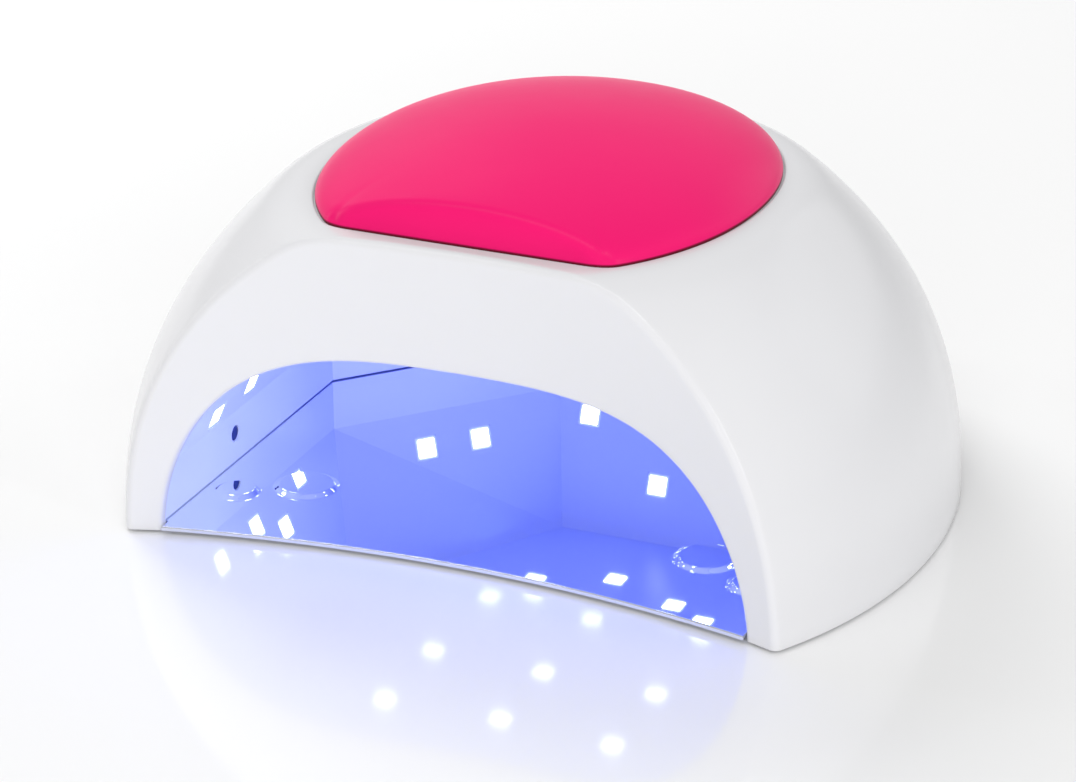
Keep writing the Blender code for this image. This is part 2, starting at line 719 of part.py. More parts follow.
def make_base_plate(finish):
    """The polished steel tray with its raised dimples."""
    front = []
    steps = 16
    for step in range(steps + 1):
        x = PLATE_FRONT_HALF * (2 * step / steps - 1)
        front.append((x, PLATE_FACE_Y + PLATE_HOLLOW * (1 - (x / FACE_SPAN) ** 2)))
    outline = [*front, (PLATE_FRONT_HALF, LEG_BACK_Y), *rim_outline(WALL + RIM_GAP)]
    outline.append((-PLATE_FRONT_HALF, LEG_BACK_Y))
    tray = plate("base_plate", [outline], *PLATE_Z, finish=finish)
    for index, centre in enumerate(mirrored(FEET), 1):
        dimple = cylinder(
            f"dimple_{index}", centre, DIMPLE_RADIUS, PLATE_Z[1] - 0.2 * MM, PLATE_Z[1] + DIMPLE_HEIGHT,
            top=DIMPLE_RADIUS - 0.9 * MM,
        )
        recess = cylinder(
            f"foot_recess_{index}", centre, FOOT_RADIUS + GAP, -1 * MM, FOOT_HEIGHT + GAP
        )
        boolean(tray, "UNION", dimple)
        boolean(tray, "DIFFERENCE", recess)
    for index, centre in enumerate(mirrored([SMALL_DIMPLE]), 1):
        dimple = cylinder(
            f"small_dimple_{index}", centre, SMALL_DIMPLE_RADIUS, PLATE_Z[1] - 0.2 * MM,
            PLATE_Z[1] + DIMPLE_HEIGHT, top=SMALL_DIMPLE_RADIUS - 0.8 * MM,
        )
        boolean(tray, "UNION", dimple)
    return tray


def make_feet(finish):
    """Four rubber feet in the tray's recesses."""
    for index, centre in enumerate(mirrored(FEET), 1):
        cylinder(
            f"rubber_foot_{index}", centre, FOOT_RADIUS - 0.4 * MM, 0.0, FOOT_HEIGHT, finish=finish,
            top=FOOT_RADIUS,
        )


def make_magnets(finish):
    """Four magnets that hold the base plate."""
    for index, centre in enumerate(mirrored(MAGNETS), 1):
        cylinder(
            f"magnet_{index}", centre, MAGNET_RADIUS, FRAME_Z[0] + 0.05 * MM,
            FRAME_Z[0] + MAGNET_HEIGHT, finish=finish,
        )


def screw(name, head_radius, radius, length, finish, frame):
    """A pan-head screw standing on its head, with a round driver recess."""
    head = 0.5 * head_radius
    profile = (
        (0.0, head + length), (radius * 0.4, head + length), (radius, head + length - radius),
        (radius, head), (head_radius, head), (head_radius, head * 0.4), (head_radius * 0.75, 0.0),
        (head_radius * 0.4, 0.0), (head_radius * 0.3, head * 0.6), (0.0, head * 0.6),
    )
    return turned(name, profile, finish, frame, sides=10)


def make_frame_screws(finish):
    """Six screws from below, through the lower frame into the housing's posts."""
    for index, centre in enumerate(mirrored(POSTS), 1):
        frame = Matrix.Translation((*centre, FRAME_Z[0] + 0.1 * MM))
        screw(f"frame_screw_{index}", SCREW_HEAD_RADIUS, SCREW_RADIUS, SCREW_LENGTH, finish, frame)


# ---------------------------------------------------------------- light and sensing

def make_led_boards(finish):
    """One board behind each lit facet, its diodes standing in the liner's windows."""
    back = LINER_WALL + GAP
    half = LED_SIDE / 2
    for name, (frame, places) in liner_facets().items():
        xs, ys = [[value * MM for value in values] for values in zip(*places)]
        board = box(
            name, (min(xs) - BOARD_MARGIN, min(ys) - BOARD_MARGIN, back),
            (max(xs) + BOARD_MARGIN, max(ys) + BOARD_MARGIN, back + BOARD_THICKNESS), finish, frame,
        )
        for index, (x, y) in enumerate(places, 1):
            x, y = x * MM, y * MM
            diode = box(
                f"{name}_diode_{index}", (x - half, y - half, 0.2 * MM),
                (x + half, y + half, back + BOARD_THICKNESS / 2), frame=frame,
            )
            boolean(board, "UNION", diode)


def make_sensor(finish):
    """The emitter in the left wall and the receiver in the right one."""
    for name, side in (("ir_emitter", -1), ("ir_receiver", 1)):
        wall = side * (FOLD_CORNERS[0][0] + 0.4 * MM)
        end = side * (FOLD_CORNERS[0][0] + 9 * MM)
        across = Matrix.Translation((0, SENSOR_Y, SENSOR_Z)) @ Matrix.Rotation(math.radians(90), 4, "Y")
        lens = cylinder(
            name, (0, 0), SENSOR_RADIUS, min(wall, end), max(wall, end), finish, across, sides=20
        )
        collar_low = side * (FOLD_CORNERS[0][0] + LINER_WALL + GAP)
        collar_high = side * (FOLD_CORNERS[0][0] + LINER_WALL + GAP + 1 * MM)
        collar = cylinder(
            name + "_collar", (0, 0), SENSOR_RADIUS + 0.7 * MM, min(collar_low, collar_high),
            max(collar_low, collar_high), frame=across, sides=20,
        )
        boolean(lens, "UNION", collar)


# ---------------------------------------------------------------- controls

def button_places():
    """Each button's name and centre in the panel's frame, counted from the left as the user faces it."""
    start = -BUTTON_PITCH * 1.5
    return [
        (name, (start + BUTTON_PITCH * index, BUTTON_PLACE)) for index, name in enumerate(BUTTON_NAMES)
    ]


def make_controls(panel, finishes):
    """The bezel, the display, four buttons with their switches, and the control board."""
    inset = 2 * GAP
    outlines = [rounded_rectangle(PANEL_SIZE[0] - inset, PANEL_SIZE[1] - inset, PANEL_CORNER - GAP)]
    window_hole = rounded_rectangle(
        DISPLAY_SIZE[0] + inset, DISPLAY_SIZE[1] + inset, 1.5 * MM, (0, DISPLAY_PLACE), 3
    )
    bezel = plate("control_bezel", outlines, -BEZEL_THICKNESS, 0.0, finishes["bezel"], panel)
    boolean(bezel, "DIFFERENCE", plate("window_hole", [window_hole], -4 * MM, 2 * MM, frame=panel))
    lens = rounded_rectangle(*DISPLAY_SIZE, 1.3 * MM, (0, DISPLAY_PLACE), 3)
    plate("display_window", [lens], -1.5 * MM, -0.1 * MM, finishes["lens"], panel)
    floor = -BOARD_DROP
    for index, (name, centre) in enumerate(button_places(), 1):
        hole = cylinder(
            f"button_hole_{index}", centre, BUTTON_RADIUS + GAP, -4 * MM, 2 * MM, frame=panel, sides=28
        )
        boolean(bezel, "DIFFERENCE", hole)
        profile = (
            (0.0, BUTTON_PROUD), (BUTTON_RADIUS - 0.5 * MM, BUTTON_PROUD),
            (BUTTON_RADIUS, BUTTON_PROUD - 0.5 * MM), (BUTTON_RADIUS, -2.0 * MM),
            (BUTTON_RADIUS + 0.9 * MM, -2.0 * MM), (BUTTON_RADIUS + 0.9 * MM, -2.9 * MM),
            (1.5 * MM, -2.9 * MM), (1.5 * MM, -3.4 * MM), (0.0, -3.4 * MM),
        )
        middle = panel @ Matrix.Translation((*centre, 0))
        turned(name, profile, finishes["button"], middle, sides=18)
        switch = box(
            f"switch_{index}", (centre[0] - 3 * MM, centre[1] - 3 * MM, floor + GAP),
            (centre[0] + 3 * MM, centre[1] + 3 * MM, floor + 2.7 * MM), finishes["switch"], panel,
        )
        plunger = cylinder(
            f"plunger_{index}", centre, 1.5 * MM, floor + 2 * MM, -4.15 * MM, frame=panel, sides=12
        )
        boolean(switch, "UNION", plunger)
    box(
        "display_module", (-13.5 * MM, DISPLAY_PLACE - 3.4 * MM, floor + GAP),
        (13.5 * MM, DISPLAY_PLACE + 4.4 * MM, -1.9 * MM), finishes["switch"], panel,
    )
    board = box(
        "control_board", (-CONTROL_BOARD[0] / 2, -CONTROL_BOARD[1] / 2, floor - BOARD_THICKNESS),
        (CONTROL_BOARD[0] / 2, CONTROL_BOARD[1] / 2, floor), finishes["board"], panel,
    )
    socket = box(
        "control_socket", (4 * MM, -8 * MM, floor - 4.5 * MM), (14 * MM, -3 * MM, floor - 0.6 * MM),
        frame=panel,
    )
    chip = box(
        "control_chip", (-12 * MM, -4 * MM, floor - 2.4 * MM), (-4 * MM, 4 * MM, floor - 0.6 * MM),
        frame=panel,
    )
    boolean(board, "UNION", socket, chip)
    for side in (-1, 1):
        hole = cylinder(
            f"control_hole_{side + 2}", (side * PEG_X, 0), PEG_SCREW[1] + GAP, -20 * MM, 0.0,
            frame=panel, sides=12,
        )
        boolean(board, "DIFFERENCE", hole)
        head_z = floor - BOARD_THICKNESS - GAP - PEG_SCREW[0] / 2
        frame = panel @ Matrix.Translation((side * PEG_X, 0, head_z))
        screw(f"control_screw_{1 if side < 0 else 2}", *PEG_SCREW, finishes["steel"], frame)


# ---------------------------------------------------------------- supply and driver

def make_driver(panel, finishes):
    """The driver board, its larger components, the inlet and the leads between the boards."""
    half = DRIVER_SIZE[0] / 2
    back = DRIVER_Y + DRIVER_THICKNESS
    box(
        "driver_board", (-half, DRIVER_Y, DRIVER_Z), (half, back, DRIVER_Z + DRIVER_SIZE[1]),
        finishes["board"],
    )
    outwards = Matrix.Rotation(math.radians(-90), 4, "X")
    face = back + GAP
    for index, x in enumerate((-24 * MM, -12 * MM), 1):
        can = cylinder(
            f"capacitor_{index}", (x, -26 * MM), 5 * MM, face, face + 12 * MM, finishes["can"], outwards
        )
        bevel(can, 0.5 * MM)
    middle = (3 * MM, -27 * MM)
    core = cylinder("inductor", middle, 7 * MM, face, face + 7 * MM, finishes["coil"], outwards)
    bore = cylinder("inductor_bore", middle, 3 * MM, face - 1 * MM, face + 9 * MM, frame=outwards)
    boolean(core, "DIFFERENCE", bore)
    sink = box(
        "heat_sink", (16 * MM, face, 20 * MM), (30 * MM, face + 9 * MM, 34 * MM), finishes["metal"]
    )
    groove = box(
        "sink_grooves", (17.6 * MM, face + 2 * MM, 18 * MM), (19.2 * MM, face + 11 * MM, 36 * MM)
    )
    repeat_along_x(groove, 4, 3.1 * MM)
    boolean(sink, "DIFFERENCE", groove)
    along_y = Matrix.Translation((0, 0, INLET_Z)) @ Matrix.Rotation(math.radians(-90), 4, "X")
    flange_low, flange_high = INLET_FACE_Y + GAP, INLET_FACE_Y + GAP + 1 * MM
    pin_tip, bore_floor = flange_high - 0.8 * MM, INLET_BACK_Y + 4 * MM
    turned(
        "dc_jack", (
            (INLET_BORE_RADIUS, flange_high), (INLET_FLANGE_RADIUS, flange_high),
            (INLET_FLANGE_RADIUS, flange_low), (INLET_RADIUS, flange_low),
            (INLET_RADIUS, INLET_BACK_Y), (0.0, INLET_BACK_Y), (0.0, pin_tip),
            (INLET_PIN_RADIUS, pin_tip), (INLET_PIN_RADIUS, bore_floor),
            (INLET_BORE_RADIUS, bore_floor), (INLET_BORE_RADIUS, flange_high),
        ), finishes["black"], along_y, sides=24,
    )
    nut = cylinder(
        "dc_jack_nut", (0, 0), 6.4 * MM, 94.4 * MM, 96.4 * MM, finishes["metal"], along_y, sides=6
    )
    nut_bore = cylinder("nut_bore", (0, 0), INLET_RADIUS + GAP, 93 * MM, 98 * MM, frame=along_y)
    boolean(nut, "DIFFERENCE", nut_bore)
    tube(
        "dc_lead", (
            (0, INLET_BACK_Y - 0.4 * MM, INLET_Z), (0.6 * MM, 85 * MM, INLET_Z),
            (2.5 * MM, 82 * MM, 13.5 * MM),
            (4 * MM, 79 * MM, 12.3 * MM), (4 * MM, 77.5 * MM, 12 * MM), (4 * MM, back + GAP, 12 * MM),
        ), 1.1 * MM, finishes["lead"],
    )
    board_top = Vector((0, DRIVER_Y + 0.8 * MM, DRIVER_Z + DRIVER_SIZE[1] + GAP))
    socket = panel @ Vector((9 * MM, -5.5 * MM, -BOARD_DROP - 4.9 * MM))
    below = panel @ Vector((9 * MM, -5.5 * MM, -BOARD_DROP - 8 * MM))
    tube(
        "ribbon_cable", (
            socket, below, (-9 * MM, 67 * MM, 50 * MM), (-10 * MM, 73.5 * MM, 46 * MM),
            (-10 * MM, board_top.y, board_top.z + 3 * MM), (-10 * MM, *board_top.yz),
        ), 1.2 * MM, finishes["lead"],
    )
    tube(
        "led_lead", (
            (18 * MM, *board_top.yz), (18 * MM, board_top.y, board_top.z + 3 * MM),
            (18 * MM, 72.5 * MM, 47 * MM), (18 * MM, 65 * MM, 54 * MM), (17 * MM, 54 * MM, 61 * MM),
            (16 * MM, 44 * MM, 66 * MM), (15 * MM, 33 * MM, 68 * MM), (15 * MM, 28 * MM, 65 * MM),
            (15 * MM, 28 * MM, CEILING_Z + LINER_WALL + BOARD_THICKNESS + 2 * GAP),
        ), 0.9 * MM, finishes["lead"],
    )


# ---------------------------------------------------------------- assembly

def main():
    """Builds the whole lamp."""
    global PARTS, CUTTERS
    clear_scene()
    PARTS = new_collection("uv_led_nail_lamp")
    CUTTERS = new_collection("cutters")
    panel = panel_frame()
    white = material("housing_white", (0.87, 0.87, 0.89), 0.25)
    steel = material("screw_steel", (0.6, 0.6, 0.62), 0.3, 1.0)
    make_top_shell(panel, white)
    make_pad(material("pad_silicone", (0.9, 0.03, 0.18), 0.5))
    make_liner(material("liner_white", (0.9, 0.9, 0.93), 0.3))
    make_lower_frame(material("frame_white", (0.8, 0.8, 0.82), 0.4))
    make_base_plate(material("mirror_steel", (0.8, 0.8, 0.85), 0.05, 1.0))
    make_feet(material("foot_rubber", (0.05, 0.05, 0.05), 0.8))
    make_magnets(material("magnet_nickel", (0.55, 0.55, 0.56), 0.25, 1.0))
    make_frame_screws(steel)
    make_led_boards(material("led_white", (0.95, 0.95, 1.0), 0.4))
    make_sensor(material("sensor_dark", (0.02, 0.03, 0.12), 0.2))
    finishes = {
        "bezel": material("bezel_white", (0.8, 0.8, 0.82), 0.3),
        "lens": material("lens_smoked", (0.03, 0.03, 0.04), 0.1),
        "button": material("button_grey", (0.6, 0.6, 0.62), 0.4),
        "switch": material("component_black", (0.03, 0.03, 0.03), 0.5),
        "board": material("board_green", (0.02, 0.2, 0.08), 0.5),
        "can": material("capacitor_sleeve", (0.05, 0.06, 0.12), 0.4),
        "coil": material("inductor_copper", (0.6, 0.25, 0.1), 0.4, 1.0),
        "metal": material("aluminium", (0.7, 0.7, 0.72), 0.4, 1.0),
        "black": material("inlet_black", (0.02, 0.02, 0.02), 0.4),
        "lead": material("lead_sheath", (0.5, 0.02, 0.02), 0.5),
        "steel": steel,
    }
    make_controls(panel, finishes)
    make_driver(panel, finishes)


main()
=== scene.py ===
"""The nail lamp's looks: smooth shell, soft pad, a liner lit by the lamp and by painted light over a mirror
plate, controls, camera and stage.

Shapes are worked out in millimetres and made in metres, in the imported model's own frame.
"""
import json
import math

import bmesh
import bpy
import numpy as np
from mathutils import Matrix, Vector
from mathutils.geometry import tessellate_polygon


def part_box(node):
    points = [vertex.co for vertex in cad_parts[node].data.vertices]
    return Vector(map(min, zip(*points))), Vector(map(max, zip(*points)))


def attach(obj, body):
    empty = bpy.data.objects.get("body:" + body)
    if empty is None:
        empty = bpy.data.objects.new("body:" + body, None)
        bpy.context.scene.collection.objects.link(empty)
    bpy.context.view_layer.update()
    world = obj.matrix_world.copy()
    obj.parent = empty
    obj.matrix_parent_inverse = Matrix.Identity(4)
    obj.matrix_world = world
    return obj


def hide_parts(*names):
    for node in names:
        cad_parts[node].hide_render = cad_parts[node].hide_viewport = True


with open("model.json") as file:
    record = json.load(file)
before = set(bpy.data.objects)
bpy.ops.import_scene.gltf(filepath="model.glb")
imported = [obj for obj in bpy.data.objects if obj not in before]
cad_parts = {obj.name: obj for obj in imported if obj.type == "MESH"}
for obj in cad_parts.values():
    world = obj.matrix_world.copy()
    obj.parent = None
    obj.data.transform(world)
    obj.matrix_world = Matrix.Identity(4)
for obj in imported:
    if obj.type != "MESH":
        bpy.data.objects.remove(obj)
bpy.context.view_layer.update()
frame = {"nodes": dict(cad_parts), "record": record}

MM = 0.001

# Housing: a superelliptic dome with a soft shoulder round its flat deck.
HALF_WIDTH = 115.0
HALF_DEPTH = 128.9
FULL_HEIGHT = 124.0
DOME_Y = -27.6
PLAN_POWER = 2.05
DROP_POWER = 1.5
RISE_POWER = 2.27
DECK_Z = 92.8
SKIRT_Z = 0.8
SHOULDER = 5.0
SEAM_RADIUS = 0.6
WALL = 2.5
GAP = 0.3
SHELL_SOFTENING = 0.35

# Front face and its hand opening.
FACE_Y = -103.0
FACE_HOLLOW = 18.8
FACE_SPAN = 100.0
FACE_LEAN = 0.059
ARCH_HALF_WIDTH = 86.2
ARCH_HEIGHT = 57.5
ARCH_WIDTH_POWER = 3.78
ARCH_HEIGHT_POWER = 1.75
EDGE_RADIUS = 2.2
INNER_EDGE_RADIUS = 1.2
ARCH_EDGE = 1.1

# Pad and the seat under it.
PAD_HALF_WIDTH = 61.9
PAD_Y = -24.3
PAD_FRONT = 75.5
PAD_REAR = 72.4
PAD_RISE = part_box("silicone_pad")[1].z / MM - DECK_Z
PAD_PLAN_POWER = 2.06
PAD_DROP_POWER = 1.72
PAD_RISE_POWER = 0.57
PAD_THICKNESS = 3.2
PAD_FACE_Y = -83.2
PAD_FACE_TILT = math.radians(10)
PAD_CORNER = 4.0
PAD_CREASE = 2.2
PAD_CORNER_X = 40.0
PAD_CORNER_FADE = 8
PAD_BLUNTNESS = 0.02
PAD_STEEPEST = 3.0
PAD_CREASE_REACH = 30.0
PAD_CURL = 0.3
POCKET_DEPTH = 1.0
POCKET_GAP = 0.4
LIP_RADIUS = 0.7
LIP_TURNS = (22.5, 45.0, 67.5, 90.0)
SEAT_FOOT_Z = DECK_Z - POCKET_DEPTH - 0.4

# Control panel.
PANEL_Y = 71.0
PANEL_SINK = 3.3
PANEL_SIZE = (48.0, 26.0)
PANEL_CORNER = 8.0
PANEL_HOLE = (42.2, 23.0)
BEZEL_THICKNESS = 1.6
BEZEL_EDGE = 0.35
COLLAR_MARGIN = 3.0
COLLAR_COVER = 0.8
COLLAR_FLOOR = 2.1
DISPLAY_PLACE = 5.3
DISPLAY_SIZE = (28.0, 8.6)
BUTTON_PLACE = -6.2
BUTTON_PITCH = 10.6
BUTTON_RADIUS = 3.9
BUTTON_TIMES = ("10", "30", "60", "99")
NUMERAL_SIZE = 3.6
NUMERAL_DEPTH = 0.015
NUMERAL_Z = 0.6
SHOWN_DIGITS = (("6", -2.6), ("0", 2.6))
DIGIT_BARS = {"6": "acdefg", "0": "abcdef"}
DIGIT_Z = (-0.1, -0.07)

# Supply inlet and the vents beside it.
INLET_Z = 14.0
INLET_RADIUS = 4.0
INLET_FACE_Y = 99.5
INLET_BACK_Y = 88.0
INLET_STEP = 1.8
SOCKET_FLOOR_Y = 92.0
FLANGE_THICKNESS = 1.3
VENT_COUNT = 5
VENT_X = 24.1
VENT_WIDTH = 2.2
VENT_PITCH = 5.2
VENT_Z = (9.0, 25.0)
VENT_BACK_Y = 86.0
CUT_END_Y = 112.0
BACKWARDS = Matrix.Rotation(math.radians(-90), 4, "X")

# Base plate, its dimples and its feet.
PLATE_Z = (1.2, 2.4)
PLATE_FACE_Y = -102.8
PLATE_HOLLOW = 14.0
PLATE_FRONT_HALF = 85.7
PLATE_INSET = 3.9
PLATE_EDGE = 0.4
LEG_BACK_Y = -95.2
FEET = ((60.5, -59.5), (46.0, 42.0))
FOOT_RADIUS = 7.0
FOOT_HEIGHT = 1.4
FOOT_DIMPLE_RADIUS = 9.6
SMALL_DIMPLES = ((77.0, -70.0),)
SMALL_DIMPLE_RADIUS = 6.9
DIMPLE_HEIGHT = 1.1
DIMPLE_SLOPE = 2.2

# Diodes: the CAD's lit face, the visual lens and its package, which carries a painted glow.
LED_SIDE = 6.4
LENS_SIDE = 5.6
RIM_SIDE = 7.0
LENS_Z = (0.02, 0.17)
RIM_Z = (0.005, 0.09)

# How finely the surfaces are divided.
ARCH_SAMPLES = 2000
SIDE_ROWS = 46
REAR_COLUMNS = 168
FRONT_COLUMNS = 56
FACE_COLUMNS = 12
EDGE_STEPS = 7
LIP_STEPS = 4
DECK_RINGS = 9
PAD_ROWS = 60
HOLLOW_ROWS = 24
PAD_SAMPLES = 500
CORNER_STEPS = 8
HOLE_SIDES = 160
DIMPLE_STEPS = 14

# Small distances in millimetres, and how often a search is repeated.
MERGE = 0.004
NUDGE = 0.01
ROOT_STEPS = 44
SETTLE_STEPS = 8

# Camera: place in metres, azimuth, elevation and roll in degrees, focal length in millimetres.
CAMERA_PLACE = (0.39372, -0.95422, 0.46481)
CAMERA_TURN = (23.175, 23.397, -0.103)
CAMERA_LENS = 130.52

# Stage, in metres and watts: each light's place, size, power and whether it shows in reflections.
LIGHT_AIM = (0.0, 0.0, 0.05)
LIGHTS = {
    "key": ((-1.0, 0.85, 0.85), (0.9, 0.9), 14.0, False),
    "fill": ((0.8, -1.9, 0.45), (1.2, 0.7), 16.2, False),
    "rim": ((1.3, 0.5, 1.2), (0.9, 0.6), 1.8, False),
    "back": ((0.9, 1.5, 0.7), (1.6, 0.9), 2.0, True),
    "strip": ((0.0, -0.75, 1.5), (1.6, 0.05), 4.0, True),
    "right_strip": ((1.36, -0.58, 0.62), (0.05, 0.9), 2.0, True),
    "left_strip": ((-1.5, -0.05, 0.4), (0.05, 0.9), 1.5, True),
}
SURROUND_STRENGTH = 0.5
FLOOR_RADIUS = 12.0
FLOOR_IOR = 1.9
FLOOR_ROUGHNESS = (0.07, 0.1)

# Pad colours with the painted shadow in the pad's seam, the lamp's own light, and painted light on the liner
# and the diode packages.
PAD_COLOUR = (0.93, 0.008, 0.17)
SEAM_SHADOW_COLOUR = (0.16, 0.004, 0.02)
LIGHT_COLOUR = (0.17, 0.26, 1.0)
DIODE_COLOUR = (0.62, 0.70, 1.0)
DIODE_STRENGTH = 8.0
# The strength of the diode packages' painted glow.
PACKAGE_PAINTED_GLOW_STRENGTH = 0.6
DIGIT_COLOUR = (0.86, 0.88, 1.0)
DIGIT_STRENGTH = 2.0
GLOW_POWER = 0.05
GLOW_SIZE = (0.09, 0.11)
GLOW_Y = -0.02
GLOW_DROP = 0.003
# Painted light on the liner: its glow's colours, its strength and where the colours fade.
LINER_PAINTED_LIGHT_DEEP = (0.04, 0.07, 0.6)
LINER_PAINTED_LIGHT_PALE = (0.62, 0.72, 0.95)
LINER_PAINTED_LIGHT_STRENGTH = 0.23
LINER_PAINTED_LIGHT_FADE_Y = -0.035
LINER_PAINTED_LIGHT_FADE_WIDTH = 0.07
# The painted shadow along the pad's foot: its height and its width.
SEAM_SHADOW_Z = (DECK_Z + 0.3) * MM
SEAM_SHADOW_WIDTH = 0.4 * MM


# ---- materials

def nodes_of(name):
    """A new material, its node tree and its Principled shader."""
    made = bpy.data.materials.new(name)
    made.use_nodes = True
    return made, made.node_tree, made.node_tree.nodes["Principled BSDF"]


def set_inputs(node, **values):
    """Sets a node's own sockets; an underscore in a name stands for a space."""
    for name, value in values.items():
        socket = node.inputs[name.replace("_", " ")]
        socket.default_value = (*value, 1.0) if socket.type == "RGBA" else value


def noise(tree, scale, detail=3.0, roughness=0.5, stretch=None):
    """A noise texture over the object's own coordinates, in features per metre."""
    place = tree.nodes.new("ShaderNodeTexCoord")
    texture = tree.nodes.new("ShaderNodeTexNoise")
    set_inputs(texture, Scale=scale, Detail=detail, Roughness=roughness)
    vector = place.outputs["Object"]
    if stretch is not None:
        mapping = tree.nodes.new("ShaderNodeMapping")
        set_inputs(mapping, Scale=stretch)
        tree.links.new(vector, mapping.inputs["Vector"])
        vector = mapping.outputs["Vector"]
    tree.links.new(vector, texture.inputs["Vector"])
    return texture.outputs["Fac"]


def spread(tree, value, low, high, centre=0.5, width=0.5):
    """Maps a noise value round its centre to a range."""
    ramp = tree.nodes.new("ShaderNodeMapRange")
    set_inputs(ramp, From_Min=centre - width / 2, From_Max=centre + width / 2, To_Min=low, To_Max=high)
    tree.links.new(value, ramp.inputs["Value"])
    return ramp.outputs["Result"]


def tint(tree, value, first, second):
    """A colour between two, by a value from 0 to 1."""
    mix = tree.nodes.new("ShaderNodeMix")
    mix.data_type = "RGBA"
    set_inputs(mix, A=first, B=second)
    tree.links.new(value, mix.inputs["Factor"])
    return mix.outputs["Result"]


def bump(tree, shader, height, strength, distance):
    """Adds a bump of a real height, in metres, to a shader."""
    node = tree.nodes.new("ShaderNodeBump")
    set_inputs(node, Strength=strength, Distance=distance)
    tree.links.new(height, node.inputs["Height"])
    tree.links.new(node.outputs["Normal"], shader.inputs["Normal"])


def moulded(name, colour, roughness, grain=900.0, depth=0.00002, smudge=0.05, shift=0.03, **values):
    """A moulded plastic or rubber: fine grain, faint smudges and a slight drift of colour."""
    made, tree, shader = nodes_of(name)
    set_inputs(shader, **values)
    darker = tuple(channel * (1 - shift) for channel in colour)
    tree.links.new(
        tint(tree, spread(tree, noise(tree, 22.0, 4.0), 0.0, 1.0), darker, colour),
        shader.inputs["Base Color"],
    )
    rough = spread(tree, noise(tree, 60.0, 5.0, 0.6), roughness - smudge, roughness + smudge)
    tree.links.new(rough, shader.inputs["Roughness"])
    bump(tree, shader, noise(tree, grain, 2.0), 0.6, depth)
    return made


def brushed(name, colour, roughness, stretch, grain=1500.0, depth=0.000004):
    """A metal with fine lines along one direction."""
    made, tree, shader = nodes_of(name)
    set_inputs(shader, Base_Color=colour, Metallic=1.0)
    lines = noise(tree, grain, 2.0, 0.5, stretch)
    tree.links.new(spread(tree, lines, roughness * 0.8, roughness * 1.25), shader.inputs["Roughness"])
    if depth:
        bump(tree, shader, lines, 0.5, depth)
    return made


def glowing(name, colour, strength):
    """A surface that gives light of its own, slightly uneven."""
    made, tree, shader = nodes_of(name)
    set_inputs(shader, Base_Color=colour, Roughness=0.4, Emission_Color=colour)
    level = spread(tree, noise(tree, 900.0), strength * 0.9, strength * 1.1)
    tree.links.new(level, shader.inputs["Emission Strength"])
    return made


def object_axis(tree, axis):
    """One of the object's own coordinates, in metres."""
    place = tree.nodes.new("ShaderNodeTexCoord")
    axes = tree.nodes.new("ShaderNodeSeparateXYZ")
    tree.links.new(place.outputs["Object"], axes.inputs["Vector"])
    return axes.outputs[axis]


def liner_with_painted_light(name):
    """Satin white plastic with painted diode light: a painted glow, deep blue at the back and paler towards
    the opening.
    """
    made = moulded(name, (0.58, 0.64, 0.93), 0.32, grain=500.0, depth=0.000002, smudge=0.02, shift=0.01)
    tree = made.node_tree
    shader = tree.nodes["Principled BSDF"]
    # Painted light: the liner glows deep blue at the back and paler towards the opening, standing in for the
    # diodes' light and the daylight on its walls.
    depth = spread(tree, object_axis(tree, "Y"), 1.0, 0.0, LINER_PAINTED_LIGHT_FADE_Y, LINER_PAINTED_LIGHT_FADE_WIDTH)
    tree.links.new(tint(tree, depth, LINER_PAINTED_LIGHT_DEEP, LINER_PAINTED_LIGHT_PALE), shader.inputs["Emission Color"])
    set_inputs(shader, Emission_Strength=LINER_PAINTED_LIGHT_STRENGTH)
    return made


def silicone(name):
    """Satin pink silicone, with a painted shadow in the seam round its foot."""
    made = moulded(name, PAD_COLOUR, 0.32, grain=2200.0, depth=0.00001, smudge=0.02, Specular_IOR_Level=0.16)
    tree = made.node_tree
    shader = tree.nodes["Principled BSDF"]
    # Painted shadow: the pad turns dark red along its foot, where the gap to the housing lies in shade.
    height = spread(tree, object_axis(tree, "Z"), 0.0, 1.0, SEAM_SHADOW_Z, SEAM_SHADOW_WIDTH)
    mottled = shader.inputs["Base Color"].links[0].from_socket
    seam_shadow = tint(tree, height, SEAM_SHADOW_COLOUR, PAD_COLOUR)
    tree.links.new(mottled, seam_shadow.node.inputs["B"])
    tree.links.new(seam_shadow, shader.inputs["Base Color"])
    return made


def circuit(name):
    """Green solder mask with copper tracks under it."""
    made, tree, shader = nodes_of(name)
    set_inputs(shader, Roughness=0.35)
    tracks = tree.nodes.new("ShaderNodeTexBrick")
    set_inputs(
        tracks, Scale=260.0, Mortar_Size=0.012,
        Color1=(0.012, 0.13, 0.05), Color2=(0.015, 0.16, 0.06), Mortar=(0.05, 0.30, 0.10),
    )
    place = tree.nodes.new("ShaderNodeTexCoord")
    tree.links.new(place.outputs["Object"], tracks.inputs["Vector"])
    tree.links.new(tracks.outputs["Color"], shader.inputs["Base Color"])
    bump(tree, shader, tracks.outputs["Fac"], 0.4, 0.00003)
    return made


# ---- mesh helpers

def signed_power(value, exponent):
    """A signed power, for superelliptic outlines."""
    return np.sign(value) * np.abs(value) ** exponent


def smooth_min(a, b, reach):
    """The smaller of two values, with a soft change from one to the other."""
    reach = np.maximum(reach, 1e-9)
    h = np.clip(0.5 + 0.5 * (b - a) / reach, 0.0, 1.0)
    return b + (a - b) * h - reach * h * (1.0 - h)


def unit(vectors):
    """The vectors at length one."""
    return vectors / np.linalg.norm(vectors, axis=-1, keepdims=True)


def root(function, low, high):
    """Where a rising function crosses zero, for whole arrays at once."""
    low, high = np.array(low, float), np.array(high, float)
    for _ in range(ROOT_STEPS):
        middle = (low + high) / 2
        above = function(middle) > 0
        high = np.where(above, middle, high)
        low = np.where(above, low, middle)
    return (low + high) / 2


